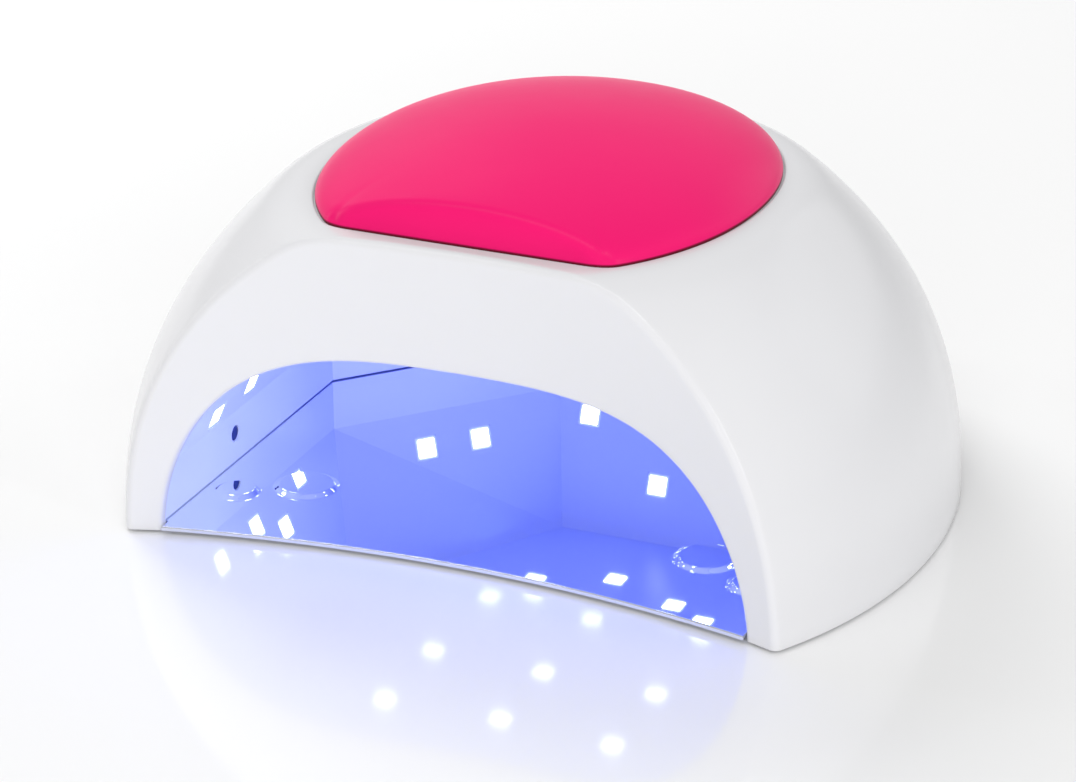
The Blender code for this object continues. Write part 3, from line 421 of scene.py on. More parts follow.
def grid_faces(rows, columns, closed):
    """Quads between neighbouring rows of a grid of points."""
    faces = []
    for row in range(rows - 1):
        for column in range(columns if closed else columns - 1):
            after = (column + 1) % columns
            here, above = row * columns, (row + 1) * columns
            faces.append((here + column, here + after, above + after, above + column))
    return faces


def join_grids(grids):
    """One bmesh, in metres, from grids of points (rows, columns, 3) and whether each closes on itself."""
    bm = bmesh.new()
    for points, closed in grids:
        rows, columns = points.shape[:2]
        verts = [bm.verts.new(point) for point in points.reshape(-1, 3) * MM]
        for face in grid_faces(rows, columns, closed):
            bm.faces.new([verts[index] for index in face])
    bmesh.ops.remove_doubles(bm, verts=bm.verts, dist=MERGE * MM)
    bmesh.ops.dissolve_degenerate(bm, edges=bm.edges, dist=MERGE * MM / 4)
    return bm


def fill_holes(bm):
    """Closes what is open with flat faces."""
    open_edges = [edge for edge in bm.edges if edge.is_boundary]
    made = bmesh.ops.holes_fill(bm, edges=open_edges)["faces"]
    bmesh.ops.triangulate(bm, faces=made)


def linked(name, data):
    """A new object in the scene."""
    obj = bpy.data.objects.new(name, data)
    bpy.context.scene.collection.objects.link(obj)
    return obj


def shade(mesh, smooth_angle=35.0):
    """Shades a mesh smooth, up to an angle in degrees."""
    mesh.shade_smooth()
    mesh.set_sharp_from_angle(angle=math.radians(smooth_angle))


def object_of(bm, name, smooth_angle=35.0):
    """An object from a bmesh, its faces turned outwards and shaded smooth up to an angle."""
    bmesh.ops.recalc_face_normals(bm, faces=bm.faces)
    mesh = bpy.data.meshes.new(name)
    bm.to_mesh(mesh)
    bm.free()
    shade(mesh, smooth_angle)
    return linked(name, mesh)


def evaluated_mesh(obj):
    """A mesh of what an object's curve or modifiers make."""
    bpy.context.view_layer.update()
    graph = bpy.context.evaluated_depsgraph_get()
    return bpy.data.meshes.new_from_object(obj.evaluated_get(graph))


def mesh_of_curve(curve):
    """A mesh of what a curve or a text makes."""
    drawn = linked(curve.name + "_curve", curve)
    mesh = evaluated_mesh(drawn)
    bpy.data.objects.remove(drawn)
    return mesh


def boolean(obj, operation, tools):
    """Joins or cuts an object with each tool, and removes the tools."""
    for tool in tools:
        step = obj.modifiers.new(tool.name, "BOOLEAN")
        step.operation = operation
        step.solver = "EXACT"
        step.object = tool
        mesh = evaluated_mesh(obj)
        obj.modifiers.clear()
        obj.data = mesh
        shade(mesh)
        bpy.data.objects.remove(tool)


def turned(name, profile, place=Matrix.Identity(4), sides=48):
    """A solid turned about a frame's Z from a profile of (radius, height) in millimetres."""
    angles = np.linspace(0, math.tau, sides, endpoint=False)
    rings = [[(r * math.cos(a), r * math.sin(a), z) for a in angles] for r, z in profile]
    bm = join_grids([(np.array(rings), True)])
    fill_holes(bm)
    bmesh.ops.transform(bm, matrix=place, verts=bm.verts)
    return object_of(bm, name)


def rounded_rectangle(width, depth, radius, centre=(0.0, 0.0)):
    """The outline of a rectangle with round corners."""
    outline = []
    for quarter, (sx, sy) in enumerate(((1, 1), (-1, 1), (-1, -1), (1, -1))):
        for step in range(CORNER_STEPS + 1):
            angle = math.pi / 2 * (quarter + step / CORNER_STEPS)
            x = centre[0] + sx * (width / 2 - radius) + radius * math.cos(angle)
            y = centre[1] + sy * (depth / 2 - radius) + radius * math.sin(angle)
            outline.append((x, y))
    return outline


def circle(radius, centre=(0.0, 0.0), steps=40):
    """The outline of a circle."""
    turn = [math.tau * step / steps for step in range(steps)]
    return [(centre[0] + radius * math.cos(a), centre[1] + radius * math.sin(a)) for a in turn]


def plate(name, outlines, low, high, edge=0.0, place=Matrix.Identity(4)):
    """A flat plate of filled outlines with rounded edges; an outline inside another is a hole."""
    curve = bpy.data.curves.new(name, "CURVE")
    curve.dimensions = "2D"
    curve.fill_mode = "BOTH"
    curve.extrude = ((high - low) / 2 - edge) * MM
    curve.bevel_depth = edge * MM
    curve.bevel_resolution = 2
    curve.offset = -edge * MM
    for outline in outlines:
        spline = curve.splines.new("POLY")
        spline.points.add(len(outline) - 1)
        spline.use_cyclic_u = True
        for knot, (x, y) in zip(spline.points, outline):
            knot.co = (x * MM, y * MM, 0.0, 1.0)
    mesh = mesh_of_curve(curve)
    bm = bmesh.new()
    bm.from_mesh(mesh)
    bpy.data.meshes.remove(mesh)
    bmesh.ops.remove_doubles(bm, verts=bm.verts, dist=MERGE * MM / 2)
    raised = place @ Matrix.Translation((0, 0, (low + high) / 2 * MM))
    bmesh.ops.transform(bm, matrix=raised, verts=bm.verts)
    return object_of(bm, name)


def piece(obj, material, body, slot, *nodes):
    """Gives a piece its material and its body, and hides the nodes that it stands for; its slot argument is
    not used.
    """
    obj.data.materials.clear()
    obj.data.materials.append(material)
    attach(obj, body)
    if nodes:
        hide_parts(*nodes)
    return obj


# ---- shell surface

def face_y(x, z):
    """The front face's place at a distance from the middle and a height."""
    return FACE_Y + FACE_HOLLOW * (1 - (x / FACE_SPAN) ** 2) - FACE_LEAN * z


def level_height(radius, inset):
    """The height of the dome's level line of a relative radius, with the soft shoulder."""
    free = (FULL_HEIGHT - inset) * np.maximum(1 - radius ** DROP_POWER, 0.0) ** (1 / RISE_POWER)
    roof = DECK_Z if inset == 0 else DECK_Z - POCKET_DEPTH - inset
    return smooth_min(free, roof, SHOULDER)


def level_point(radius, angle, inset):
    """A point of a level line in the plan."""
    x = (HALF_WIDTH - inset) * radius * signed_power(np.cos(angle), 2 / PLAN_POWER)
    y = DOME_Y + (HALF_DEPTH - inset) * radius * signed_power(np.sin(angle), 2 / PLAN_POWER)
    return x, y


def dome_height(x, y, inset=0.0):
    """The dome's height over a point of the plan."""
    across = np.abs(x / (HALF_WIDTH - inset)) ** PLAN_POWER
    along = np.abs((y - DOME_Y) / (HALF_DEPTH - inset)) ** PLAN_POWER
    return level_height((across + along) ** (1 / PLAN_POWER), inset)


def arch_points(shares):
    """Points of the hand opening's right half, at shares of its length from the foot to the top."""
    angle = np.linspace(0.0, math.pi / 2, ARCH_SAMPLES)
    x = ARCH_HALF_WIDTH * signed_power(np.cos(angle), 2 / ARCH_WIDTH_POWER)
    z = ARCH_HEIGHT * np.sin(angle) ** (2 / ARCH_HEIGHT_POWER)
    keep = z >= SKIRT_Z
    x, z = np.append(x[keep][0], x[keep]), np.append(SKIRT_Z, z[keep])
    run = np.append(0.0, np.cumsum(np.hypot(np.diff(x), np.diff(z))))
    run /= run[-1]
    return np.interp(shares, run, x), np.interp(shares, run, z)


def clustered(count, pull=0.6):
    """Shares from 0 to 1 that crowd towards both ends."""
    u = np.linspace(0.0, 1.0, count + 1)
    return u - pull * np.sin(math.tau * u) / math.tau


def front_edge(inset):
    """Stations along the front edge's right half: their points, and the side's level radii and angles."""
    height = FULL_HEIGHT - inset
    lift_low = math.asin((SKIRT_Z / height) ** (RISE_POWER / 2))
    lift_high = math.acos(SEAM_RADIUS ** (DROP_POWER / 2))
    lift = np.linspace(lift_low, lift_high, SIDE_ROWS + 1)
    radius = np.cos(lift) ** (2 / DROP_POWER)
    z = level_height(radius, inset)
    z[0] = SKIRT_Z

    def ahead(angle):
        x, y = level_point(radius, angle, inset)
        return y - face_y(x, z) - inset

    angle = root(ahead, np.full_like(z, -math.pi / 2), np.full_like(z, -0.02))
    x, y = level_point(radius, angle, inset)
    side = np.stack((x, y, z), 1)
    top_x = side[-1, 0] * np.linspace(1.0, 0.0, FRONT_COLUMNS // 2 + 1)[1:]
    top_z = np.full_like(top_x, side[-1, 2])
    for _ in range(SETTLE_STEPS):
        top_y = face_y(top_x, top_z) + inset
        top_z = dome_height(top_x, top_y, inset)
    top = np.stack((top_x, top_y, top_z), 1)
    return np.vstack((side, top)), radius, angle


def arc_between(start, corner, end, steps):
    """A round arc from start to end that leaves and arrives along the lines to the corner."""
    cosine = np.sum(unit(start - corner) * unit(end - corner), -1)
    weight = np.sqrt((1 - cosine) / 2)[:, None]
    t = np.linspace(0.0, 1.0, steps + 1)[None, :, None]
    first, middle, last = (1 - t) ** 2, 2 * t * (1 - t) * weight[:, None], t ** 2
    total = first * start[:, None] + middle * corner[:, None] + last * end[:, None]
    return total / (first + middle + last)


def shell_strips(inset, shares, edge_radius, arch_edge):
    """For each station, points from the opening over the front face and round its edge.

    Also the level rows' radii and the angles at which they start.
    """
    edge, radius, angle = front_edge(inset)
    count = len(radius)
    arch_x, arch_z = arch_points(shares)
    arch = np.stack((arch_x, face_y(arch_x, arch_z) + inset, arch_z), 1)
    flat = edge - arch
    flat[:, 1] = 0.0
    length = np.linalg.norm(flat, axis=1)[:, None]
    flat /= length

    def on_face(distance):
        at = arch + flat * distance
        at[:, 1] = face_y(at[:, 0], at[:, 2]) + inset
        return at

    inwards = unit(on_face(length - NUDGE) - edge)
    step = 0.0005
    x, y = level_point(radius, angle + step, inset)
    row_way = unit(np.stack((x, y, edge[:count, 2]), 1) - edge[:count])
    turn_in = (edge[count - 1:, 0] / edge[count - 1, 0])[:, None] ** 3
    straight = np.tile((0.0, 1.0), (len(turn_in), 1))
    plan_way = unit(turn_in * row_way[-1, :2] + (1 - turn_in) * straight)
    reach = edge[count - 1:, :2] + NUDGE * plan_way
    ahead = np.column_stack((reach, dome_height(reach[:, 0], reach[:, 1], inset)))
    top_way = unit(ahead - edge[count - 1:])
    way = np.vstack((row_way, top_way[1:]))
    turning = math.pi - np.arccos(np.sum(inwards * way, -1))
    run = edge_radius * np.tan(turning / 2)
    speed = np.linalg.norm(np.stack((x, y), 1) - edge[:count, :2], axis=1) / step
    start_angle = angle + run[:count] / speed
    row_x, row_y = level_point(radius, start_angle, inset)
    side_end = np.stack((row_x, row_y, edge[:count, 2]), 1)
    plan = edge[count:, :2] + run[count:, None] * plan_way[1:]
    top_end = np.column_stack((plan, dome_height(plan[:, 0], plan[:, 1], inset)))
    finish = np.vstack((side_end, top_end))
    low, high = arch_edge, length - run[:, None]
    across = [on_face(low + (high - low) * share) for share in np.linspace(0.0, 1.0, FACE_COLUMNS + 1)]
    bend = arc_between(across[-1], edge, finish, EDGE_STEPS)[:, 1:]
    strips = np.concatenate((np.stack(across, 1), bend), 1)
    if arch_edge > 0:
        back = arch + np.array((0.0, arch_edge, 0.0))
        lip = arc_between(back, arch, across[0], LIP_STEPS)[:, :-1]
        inner = arch + np.array((0.0, WALL, 0.0))
        strips = np.concatenate((inner[:, None], lip, strips), 1)
    return strips, radius, start_angle


def rear_rows(radius, start_angle, z, inset):
    """The level rows from the right front edge round the back to the left one."""
    share = clustered(REAR_COLUMNS)
    rows = []
    for r, start, height in zip(radius, start_angle, z):
        angle = start + (math.pi - 2 * start) * share
        x, y = level_point(r, angle, inset)
        rows.append(np.stack((x, y, np.full_like(x, height)), 1))
    return np.array(rows)


def mirror(points):
    """Points mirrored across the lamp's middle."""
    return points * np.array((-1.0, 1.0, 1.0))


def shell_skin(inset, shares, edge_radius, arch_edge):
    """The side and front grids of one face of the shell, and the loop round its deck."""
    strips, radius, start_angle = shell_strips(inset, shares, edge_radius, arch_edge)
    count = len(radius)
    rows = rear_rows(radius, start_angle, strips[:count, -1, 2], inset)
    side = np.concatenate((strips[:count, :-1], rows, mirror(strips[:count, :-1])[:, ::-1]), 1)
    right = strips[count - 1:]
    front = np.concatenate((right, mirror(right)[-2::-1]), 0)
    loop = np.concatenate((rows[-1], front[::-1, -1][1:-1]), 0)
    return side, front, loop


def column_angles():
    """The directions of the pad's columns, from its right front corner round the back and along the front."""
    corner = math.atan2(PAD_FACE_Y - PAD_Y, PAD_CORNER_X)
    rear = corner + (math.pi - 2 * corner) * clustered(REAR_COLUMNS)
    across = PAD_CORNER_X * (2 * clustered(FRONT_COLUMNS, 0.3)[1:-1] - 1)
    front = np.arctan2(PAD_FACE_Y - PAD_Y, across)
    return np.append(rear, front + math.tau)


def pad_outline(angle, inset):
    """How far the pad's round outline, its straight front and the two joined lie from its centre."""
    cosine, sine = np.cos(angle), np.sin(angle)
    depth = np.where(sine > 0, PAD_REAR, PAD_FRONT) - inset
    across = np.abs(cosine / (PAD_HALF_WIDTH - inset)) ** PAD_PLAN_POWER
    side = (across + np.abs(sine / depth) ** PAD_PLAN_POWER) ** (-1 / PAD_PLAN_POWER)
    forwards, far = -0.1, 999.0
    front = np.where(sine < forwards, (PAD_FACE_Y + inset - PAD_Y) / np.minimum(sine, forwards), far)
    return side, front, smooth_min(side, front, PAD_CORNER)


def pad_height(angle, reach, inset):
    """The pad's height above the deck at a distance from its centre, its front trimmed with a soft crease."""
    side, front, joined = pad_outline(angle, inset)
    cut = (np.minimum(side, front) - joined) * (reach / joined) ** PAD_CORNER_FADE
    side, front = side - cut, front - cut
    ratio = np.clip(reach / side, 0.0, 1.0)
    power = PAD_DROP_POWER / 2
    least = PAD_BLUNTNESS ** power
    drop = ((ratio ** 2 + PAD_BLUNTNESS) ** power - least) / ((1 + PAD_BLUNTNESS) ** power - least)
    rise = (PAD_RISE - inset) * np.maximum(1 - drop, 0.0) ** PAD_RISE_POWER
    slope = PAD_RISE_POWER * rise / np.maximum(1 - drop, 1e-6) * PAD_DROP_POWER * ratio / side
    level = 1 / np.sqrt(1 + np.minimum(slope, PAD_STEEPEST) ** 2)
    from_front = (front - reach) * np.abs(np.sin(angle))
    lean = math.tan(PAD_FACE_TILT)
    soft = np.minimum(PAD_CREASE, rise * level + from_front)

    def outside(z):
        return -smooth_min((rise - z) * level, (from_front - z * lean) * math.cos(PAD_FACE_TILT), soft)

    height = root(outside, np.full_like(rise, -1.0), rise + 0.5)
    return np.where(from_front > PAD_CREASE_REACH, rise, np.clip(height, 0.0, rise))


def pad_surface(angles, inset, rows):
    """Points of the pad's surface, from its top to its outline, one column for each direction.

    The rows stand closer together where the surface bends.
    """
    outline_pull, bend_weight = 2.5, 7.0
    share = 1 - (1 - np.linspace(0.0, 1.0, PAD_SAMPLES)) ** outline_pull
    angle = np.repeat(angles[:, None], PAD_SAMPLES, 1)
    reach = pad_outline(angle, inset)[2] * share
    height = pad_height(angle, reach, inset)
    height[:, -1] = 0.0
    surface = []
    for a, t, z in zip(angles, reach, height):
        step = np.hypot(np.diff(t), np.diff(z))
        bend = np.abs(np.diff(np.unwrap(np.arctan2(np.diff(z), np.diff(t)))))
        run = np.append(0.0, np.cumsum(step + bend_weight * np.append(bend, bend[-1])))
        at = np.linspace(0.0, run[-1], rows)
        t, z = np.interp(at, run, t), np.interp(at, run, z)
        surface.append(np.stack((t * math.cos(a), PAD_Y + t * math.sin(a), DECK_Z + z), 1))
    return np.array(surface).transpose(1, 0, 2)


def outline_ring(angles, outset, z):
    """A ring round the pad's outline, moved outwards, at one height or at a height for each column."""
    reach = pad_outline(angles, 0.0)[2] + outset
    x, y = reach * np.cos(angles), PAD_Y + reach * np.sin(angles)
    return np.stack((x, y, np.broadcast_to(z, x.shape)), 1)


def deck_rings(loop, angles):
    """Rings from the loop round the deck to the pocket, over its lip and up the seat to its top."""
    inner = outline_ring(angles, POCKET_GAP + LIP_RADIUS, 0.0)
    rings = []
    for share in np.linspace(0.0, 1.0, DECK_RINGS):
        ring = loop + (inner - loop) * share
        ring[:, 2] = dome_height(ring[:, 0], ring[:, 1])
        rings.append(ring)
    rings[0] = loop
    deck = rings[-1][:, 2]
    for turn in np.radians(LIP_TURNS):
        outset = POCKET_GAP + LIP_RADIUS * (1 - math.sin(turn))
        rings.append(outline_ring(angles, outset, deck - LIP_RADIUS * (1 - math.cos(turn))))
    rings.append(outline_ring(angles, POCKET_GAP, SEAT_FOOT_Z))
    seat = pad_surface(angles, PAD_THICKNESS + GAP, HOLLOW_ROWS)[::-1]
    foot = seat[0].copy()
    foot[:, 2] = SEAT_FOOT_Z
    return np.array([*rings, foot, *seat])


def panel_frame():
    """The control panel's frame: X across, Y up the slope, Z outwards, sunk below the dome."""
    step = 0.5
    y = np.array((PANEL_Y - step, PANEL_Y, PANEL_Y + step))
    z = dome_height(np.zeros(3), y)
    normal = Vector((0, -(z[2] - z[0]) / (2 * step), 1)).normalized()
    x_axis = Vector((-1, 0, 0))
    turn = Matrix((x_axis, normal.cross(x_axis), normal)).transposed().to_4x4()
    return Matrix.Translation((Vector((0, PANEL_Y, z[1])) - normal * PANEL_SINK) * MM) @ turn


def panel_collar(panel):
    """The block behind the control recess; its top follows the dome, just under the surface."""
    size = [side + 2 * COLLAR_MARGIN for side in PANEL_SIZE]
    outline = np.array(rounded_rectangle(*size, PANEL_CORNER + COLLAR_MARGIN))
    turn = np.array(panel.to_3x3())
    origin = np.array(panel.translation) / MM

    def above(z):
        at = origin + np.column_stack((outline, z)) @ turn.T
        return at[:, 2] - dome_height(at[:, 0], at[:, 1])

    deepest, highest = -12.0, 8.0
    top = root(above, np.full(len(outline), deepest), np.full(len(outline), highest)) - COLLAR_COVER
    low = np.full(len(outline), -BEZEL_THICKNESS - GAP - COLLAR_FLOOR)
    bm = join_grids([(np.array([np.column_stack((outline, z)) for z in (low, top)]), True)])
    fill_holes(bm)
    bmesh.ops.transform(bm, matrix=panel, verts=bm.verts)
    return object_of(bm, "panel_collar")


def soften(obj, width, chosen):
    """Rounds the sharp edges whose middles, in millimetres, pass a test."""
    bm = bmesh.new()
    bm.from_mesh(obj.data)
    bmesh.ops.remove_doubles(bm, verts=bm.verts, dist=0.01 * MM)
    sharp = math.radians(50)
    edges = []
    for edge in bm.edges:
        if edge.is_manifold and edge.calc_face_angle() > sharp:
            if chosen((edge.verts[0].co + edge.verts[1].co) / (2 * MM)):
                edges.append(edge)
    bmesh.ops.bevel(
        bm, geom=edges, offset=width * MM, segments=2, profile=0.5, affect="EDGES", clamp_overlap=True
    )
    bm.to_mesh(obj.data)
    bm.free()
    shade(obj.data)


def rear_cutters(panel):
    """The control recess, the hole in its floor, the vents beside the inlet and the inlet's stepped bore."""
    inside, outside = -8.0, 12.0
    opening = [rounded_rectangle(*PANEL_SIZE, PANEL_CORNER)]
    recess = plate("recess", opening, -BEZEL_THICKNESS - GAP, outside, place=panel)
    hole = plate("hole", [rounded_rectangle(*PANEL_HOLE, PANEL_CORNER / 4)], inside, 0.0, place=panel)
    middle, height = -sum(VENT_Z) / 2, VENT_Z[1] - VENT_Z[0]
    slots = []
    for index in range(VENT_COUNT):
        for side in (-1, 1):
            centre = (side * (VENT_X + VENT_PITCH * index), middle)
            slots.append(rounded_rectangle(VENT_WIDTH, height, VENT_WIDTH / 2 - 0.01, centre))
    vents = plate("vents", slots, VENT_BACK_Y, CUT_END_Y, place=BACKWARDS)
    through = [circle(INLET_RADIUS + GAP, (0, -INLET_Z))]
    bore = plate("bore", through, INLET_BACK_Y, CUT_END_Y, place=BACKWARDS)
    wider = [circle(INLET_RADIUS + INLET_STEP, (0, -INLET_Z))]
    step = plate("step", wider, INLET_FACE_Y, CUT_END_Y, place=BACKWARDS)
    return [recess, hole, vents, bore, step]


def make_shell(material, panel):
    """The white housing, with its rounded front edge, pad pocket, control recess, vents and inlet."""
    edge = front_edge(0.0)[0]
    run = np.append(0.0, np.cumsum(np.linalg.norm(np.diff(edge, axis=0), axis=1)))
    shares = run / run[-1]
    side, front, loop = shell_skin(0.0, shares, EDGE_RADIUS, ARCH_EDGE)
    inner_side, inner_front, inner_loop = shell_skin(WALL, shares, INNER_EDGE_RADIUS, 0.0)
    middle = np.array((0.0, PAD_Y, inner_loop[0, 2]))
    roof = np.array([inner_loop + (middle - inner_loop) * share for share in (0.0, 0.5, 1.0)])
    grids = [
        (side, False), (front, False), (deck_rings(loop, column_angles()), True),
        (inner_side, False), (inner_front, False), (roof, True),
    ]
    bm = join_grids(grids)
    fill_holes(bm)
    shell = object_of(bm, "housing_shell")
    boolean(shell, "UNION", [panel_collar(panel)])
    boolean(shell, "DIFFERENCE", rear_cutters(panel))

    def at_rear_or_foot(at):
        behind = at.y > 40 and at.z > 1.5
        return behind or at.z < 1.0

    soften(shell, SHELL_SOFTENING, at_rear_or_foot)
    piece(shell, material, "housing", "housing", "top_shell")


# ---- soft pad

def make_pad(material):
    """The silicone pad: a crowned skin with a soft crease over its straight front."""
    angles = column_angles()
    outer = pad_surface(angles, 0.0, PAD_ROWS)
    hollow = pad_surface(angles, PAD_THICKNESS, HOLLOW_ROWS)[::-1]
    foot = -POCKET_DEPTH + GAP
    rings = []
    for turn in np.radians((0.0, 30.0, 60.0, 90.0)):
        z = DECK_Z + foot + PAD_CURL * (1 - math.sin(turn))
        rings.append(outline_ring(angles, -PAD_CURL * (1 - math.cos(turn)), z))
    low = hollow[0].copy()
    low[:, 2] = DECK_Z + foot
    bm = join_grids([(np.array([*outer, *rings, low, *hollow]), True)])
    pad = piece(object_of(bm, "pad_skin", 50.0), material, "pad", "pad_silicone", "silicone_pad")
    pad.visible_diffuse = False


# ---- base plate, feet and diodes

def both_sides(places):
    """Places on the right and on the left of the lamp's middle."""
    return [(side * x, y) for x, y in places for side in (1, -1)]


def plate_outline(outset):
    """The base plate's plan: a hollow front between the legs, then the dome's plan round the back."""
    front_points, rim_points = 65, 180
    x = PLATE_FRONT_HALF * np.linspace(-1.0, 1.0, front_points)
    front = np.stack((x, PLATE_FACE_Y + PLATE_HOLLOW * (1 - (x / FACE_SPAN) ** 2)), 1)
    angle = np.radians(np.linspace(-58.0, 238.0, rim_points))
    rim = np.stack(level_point(1.0, angle, PLATE_INSET), 1)
    rim = rim[rim[:, 1] > LEG_BACK_Y + 1.0]
    depth = (DOME_Y - LEG_BACK_Y) / (HALF_DEPTH - PLATE_INSET)
    half = (HALF_WIDTH - PLATE_INSET) * (1 - depth ** PLAN_POWER) ** (1 / PLAN_POWER)
    right = [(PLATE_FRONT_HALF, LEG_BACK_Y), (half, LEG_BACK_Y)]
    left = [(-half, LEG_BACK_Y), (-PLATE_FRONT_HALF, LEG_BACK_Y)]
    outline = np.vstack((front, right, rim, left))
    before = unit(outline - np.roll(outline, 1, 0))
    after = unit(np.roll(outline, -1, 0) - outline)
    normal = unit(np.stack((before[:, 1] + after[:, 1], -before[:, 0] - after[:, 0]), 1))
    return outline + normal * outset


def flat_face(bm, z, outline, rounds):
    """A flat face at a height, with round holes; returns the outline's vertices and each hole's."""
    loops = [outline] + [circle(radius, centre, HOLE_SIDES) for centre, radius in rounds]
    verts = [ring_at(bm, loop, z) for loop in loops]
    flat = [vert for ring in verts for vert in ring]
    for triangle in tessellate_polygon([[vert.co for vert in ring] for ring in verts]):
        bm.faces.new([flat[index] for index in triangle])
    return verts[0], verts[1:]


def bridge(bm, ring, other):
    """Quads between two rings of as many vertices; returns the second ring."""
    for index in range(len(ring)):
        after = (index + 1) % len(ring)
        bm.faces.new((ring[index], ring[after], other[after], other[index]))
    return other


def ring_at(bm, outline, z):
    """An outline's vertices at a height."""
    return [bm.verts.new((x * MM, y * MM, z * MM)) for x, y in outline]


def raise_ring(bm, ring, centre, levels):
    """Carries a ring of vertices through (radius, height) levels and closes it with a flat top."""
    for radius, z in levels:
        ring = bridge(bm, ring, ring_at(bm, circle(radius, centre, len(ring)), z))
    bm.faces.new(ring)


def dimple_levels(radius):
    """A dimple's profile, from the plate's level up its soft edge."""
    levels = []
    for share in np.linspace(0.0, 1.0, DIMPLE_STEPS + 1)[1:]:
        lift = share * share * (3 - 2 * share)
        levels.append((radius - DIMPLE_SLOPE * share, PLATE_Z[1] + DIMPLE_HEIGHT * lift))
    return levels


def make_plate(material):
    """The polished steel tray, with a dimple over each foot and a small one at either end of the front."""
    bm = bmesh.new()
    feet = both_sides(FEET)
    dimples = [(centre, FOOT_DIMPLE_RADIUS) for centre in feet]
    dimples += [(centre, SMALL_DIMPLE_RADIUS) for centre in both_sides(SMALL_DIMPLES)]
    top, holes = flat_face(bm, PLATE_Z[1], plate_outline(-PLATE_EDGE), dimples)
    for ring, (centre, radius) in zip(holes, dimples):
        raise_ring(bm, ring, centre, dimple_levels(radius))
    wells = [(centre, FOOT_RADIUS + GAP) for centre in feet]
    low, holes = flat_face(bm, PLATE_Z[0], plate_outline(0.0), wells)
    for ring, (centre, radius) in zip(holes, wells):
        raise_ring(bm, ring, centre, [(radius, FOOT_HEIGHT + GAP)])
    ring = top
    for turn in np.radians((18.0, 36.0, 54.0, 72.0, 90.0)):
        outline = plate_outline(-PLATE_EDGE * (1 - math.sin(turn)))
        z = PLATE_Z[1] - PLATE_EDGE * (1 - math.cos(turn))
        ring = bridge(bm, ring, ring_at(bm, outline, z))
    bridge(bm, ring, low)
    tray = object_of(bm, "mirror_tray", 50.0)
    level = 0.9999
    for polygon in tray.data.polygons:
        if abs(polygon.normal.z) > level:
            polygon.use_smooth = False
    piece(tray, material, "base_tray", "mirror_steel", "base_plate")


def make_feet(material):
    """Rubber feet with rounded rims."""
    profile = [
        (0.2, 0.25), (5.4, 0.25), (5.8, 0.05), (6.2, 0.0), (6.6, 0.12), (6.8, 0.4),
        (FOOT_RADIUS - 0.05, FOOT_HEIGHT - 0.1), (FOOT_RADIUS - 0.2, FOOT_HEIGHT), (0.2, FOOT_HEIGHT),
    ]
    for index, (x, y) in enumerate(both_sides(FEET), 1):
        foot = turned(f"foot_{index}", profile, Matrix.Translation((x * MM, y * MM, 0)))
        piece(foot, material, "base_tray", "foot_rubber", f"rubber_foot_{index}")


def diode_frames(node):
    """The frame of each diode's lit face on a board: its middle, with Z towards the hand space.

    A lit face is square and comes as two triangles of half its area, found by their longest side's middle.
    """
    mesh = frame["nodes"][node].data
    half_face, tolerance = 0.5, 0.01
    found = {}
    for polygon in mesh.polygons:
        if abs(polygon.area / (LED_SIDE * MM) ** 2 - half_face) > tolerance:
            continue
        corners = [mesh.vertices[index].co for index in polygon.vertices]
        sides = [(corners[i] - corners[i - 1], (corners[i] + corners[i - 1]) / 2) for i in range(3)]
        sides.sort(key=lambda side: side[0].length)
        middle = sides[2][1]
        x_axis = sides[0][0].normalized()
        z_axis = polygon.normal.copy()
        turn = Matrix((x_axis, z_axis.cross(x_axis), z_axis)).transposed().to_4x4()
        found[tuple(round(value, 4) for value in middle)] = Matrix.Translation(middle) @ turn
    return list(found.values())


def make_diodes(lens, package):
    """On each board, diodes with a package given a faint painted glow and a lit lens that stands just above
    it.
    """
    for node in sorted(name for name in frame["nodes"] if name.startswith("led_board")):
        frames = diode_frames(node)
        first = frames[0]
        places = [(first.inverted() @ at).translation / MM for at in frames]
        inner = [rounded_rectangle(LENS_SIDE, LENS_SIDE, 0.4, at.xy) for at in places]
        outer = [rounded_rectangle(RIM_SIDE, RIM_SIDE, 0.5, at.xy) for at in places]
        label = node.replace("led_board", "diodes")
        lit = plate(label + "_lit", inner, *LENS_Z, 0.06, first)
        rims = plate(label + "_package", outer, *RIM_Z, 0.03, first)
        piece(lit, lens, "housing", "led_board")
        piece(rims, package, "housing", "led_board")


# ---- controls

def digit_segments(digit, centre):
    """Outlines of a seven-segment digit's lit bars."""
    half, tall, thick, slant, apart = 1.35, 2.7, 0.32, 0.08, 0.12
    bars = {
        "a": ((-half, tall), (half, tall)),
        "b": ((half, 0), (half, tall)),
        "c": ((half, -tall), (half, 0)),
        "d": ((-half, -tall), (half, -tall)),
        "e": ((-half, -tall), (-half, 0)),
        "f": ((-half, 0), (-half, tall)),
        "g": ((-half, 0), (half, 0)),
    }
    outlines = []
    for bar in DIGIT_BARS[digit]:
        start, end = (Vector(point) for point in bars[bar])
        along = (end - start).normalized()
        across = Vector((-along.y, along.x)) * thick
        start, end = start + along * apart, end - along * apart
        points = (
            start, start + along * thick + across, end - along * thick + across,
            end, end - along * thick - across, start + along * thick - across,
        )
        outlines.append([(centre[0] + p.x + slant * p.y, centre[1] + p.y) for p in points])
    return outlines


def numerals(name, text, place):
    """A thin printed number in the middle of a place."""
    curve = bpy.data.curves.new(name, "FONT")
    curve.body = text
    curve.size = NUMERAL_SIZE * MM
    curve.align_x = "CENTER"
    curve.align_y = "CENTER"
    curve.extrude = NUMERAL_DEPTH * MM
    mesh = mesh_of_curve(curve)
    mesh.transform(place)
    return linked(name, mesh)


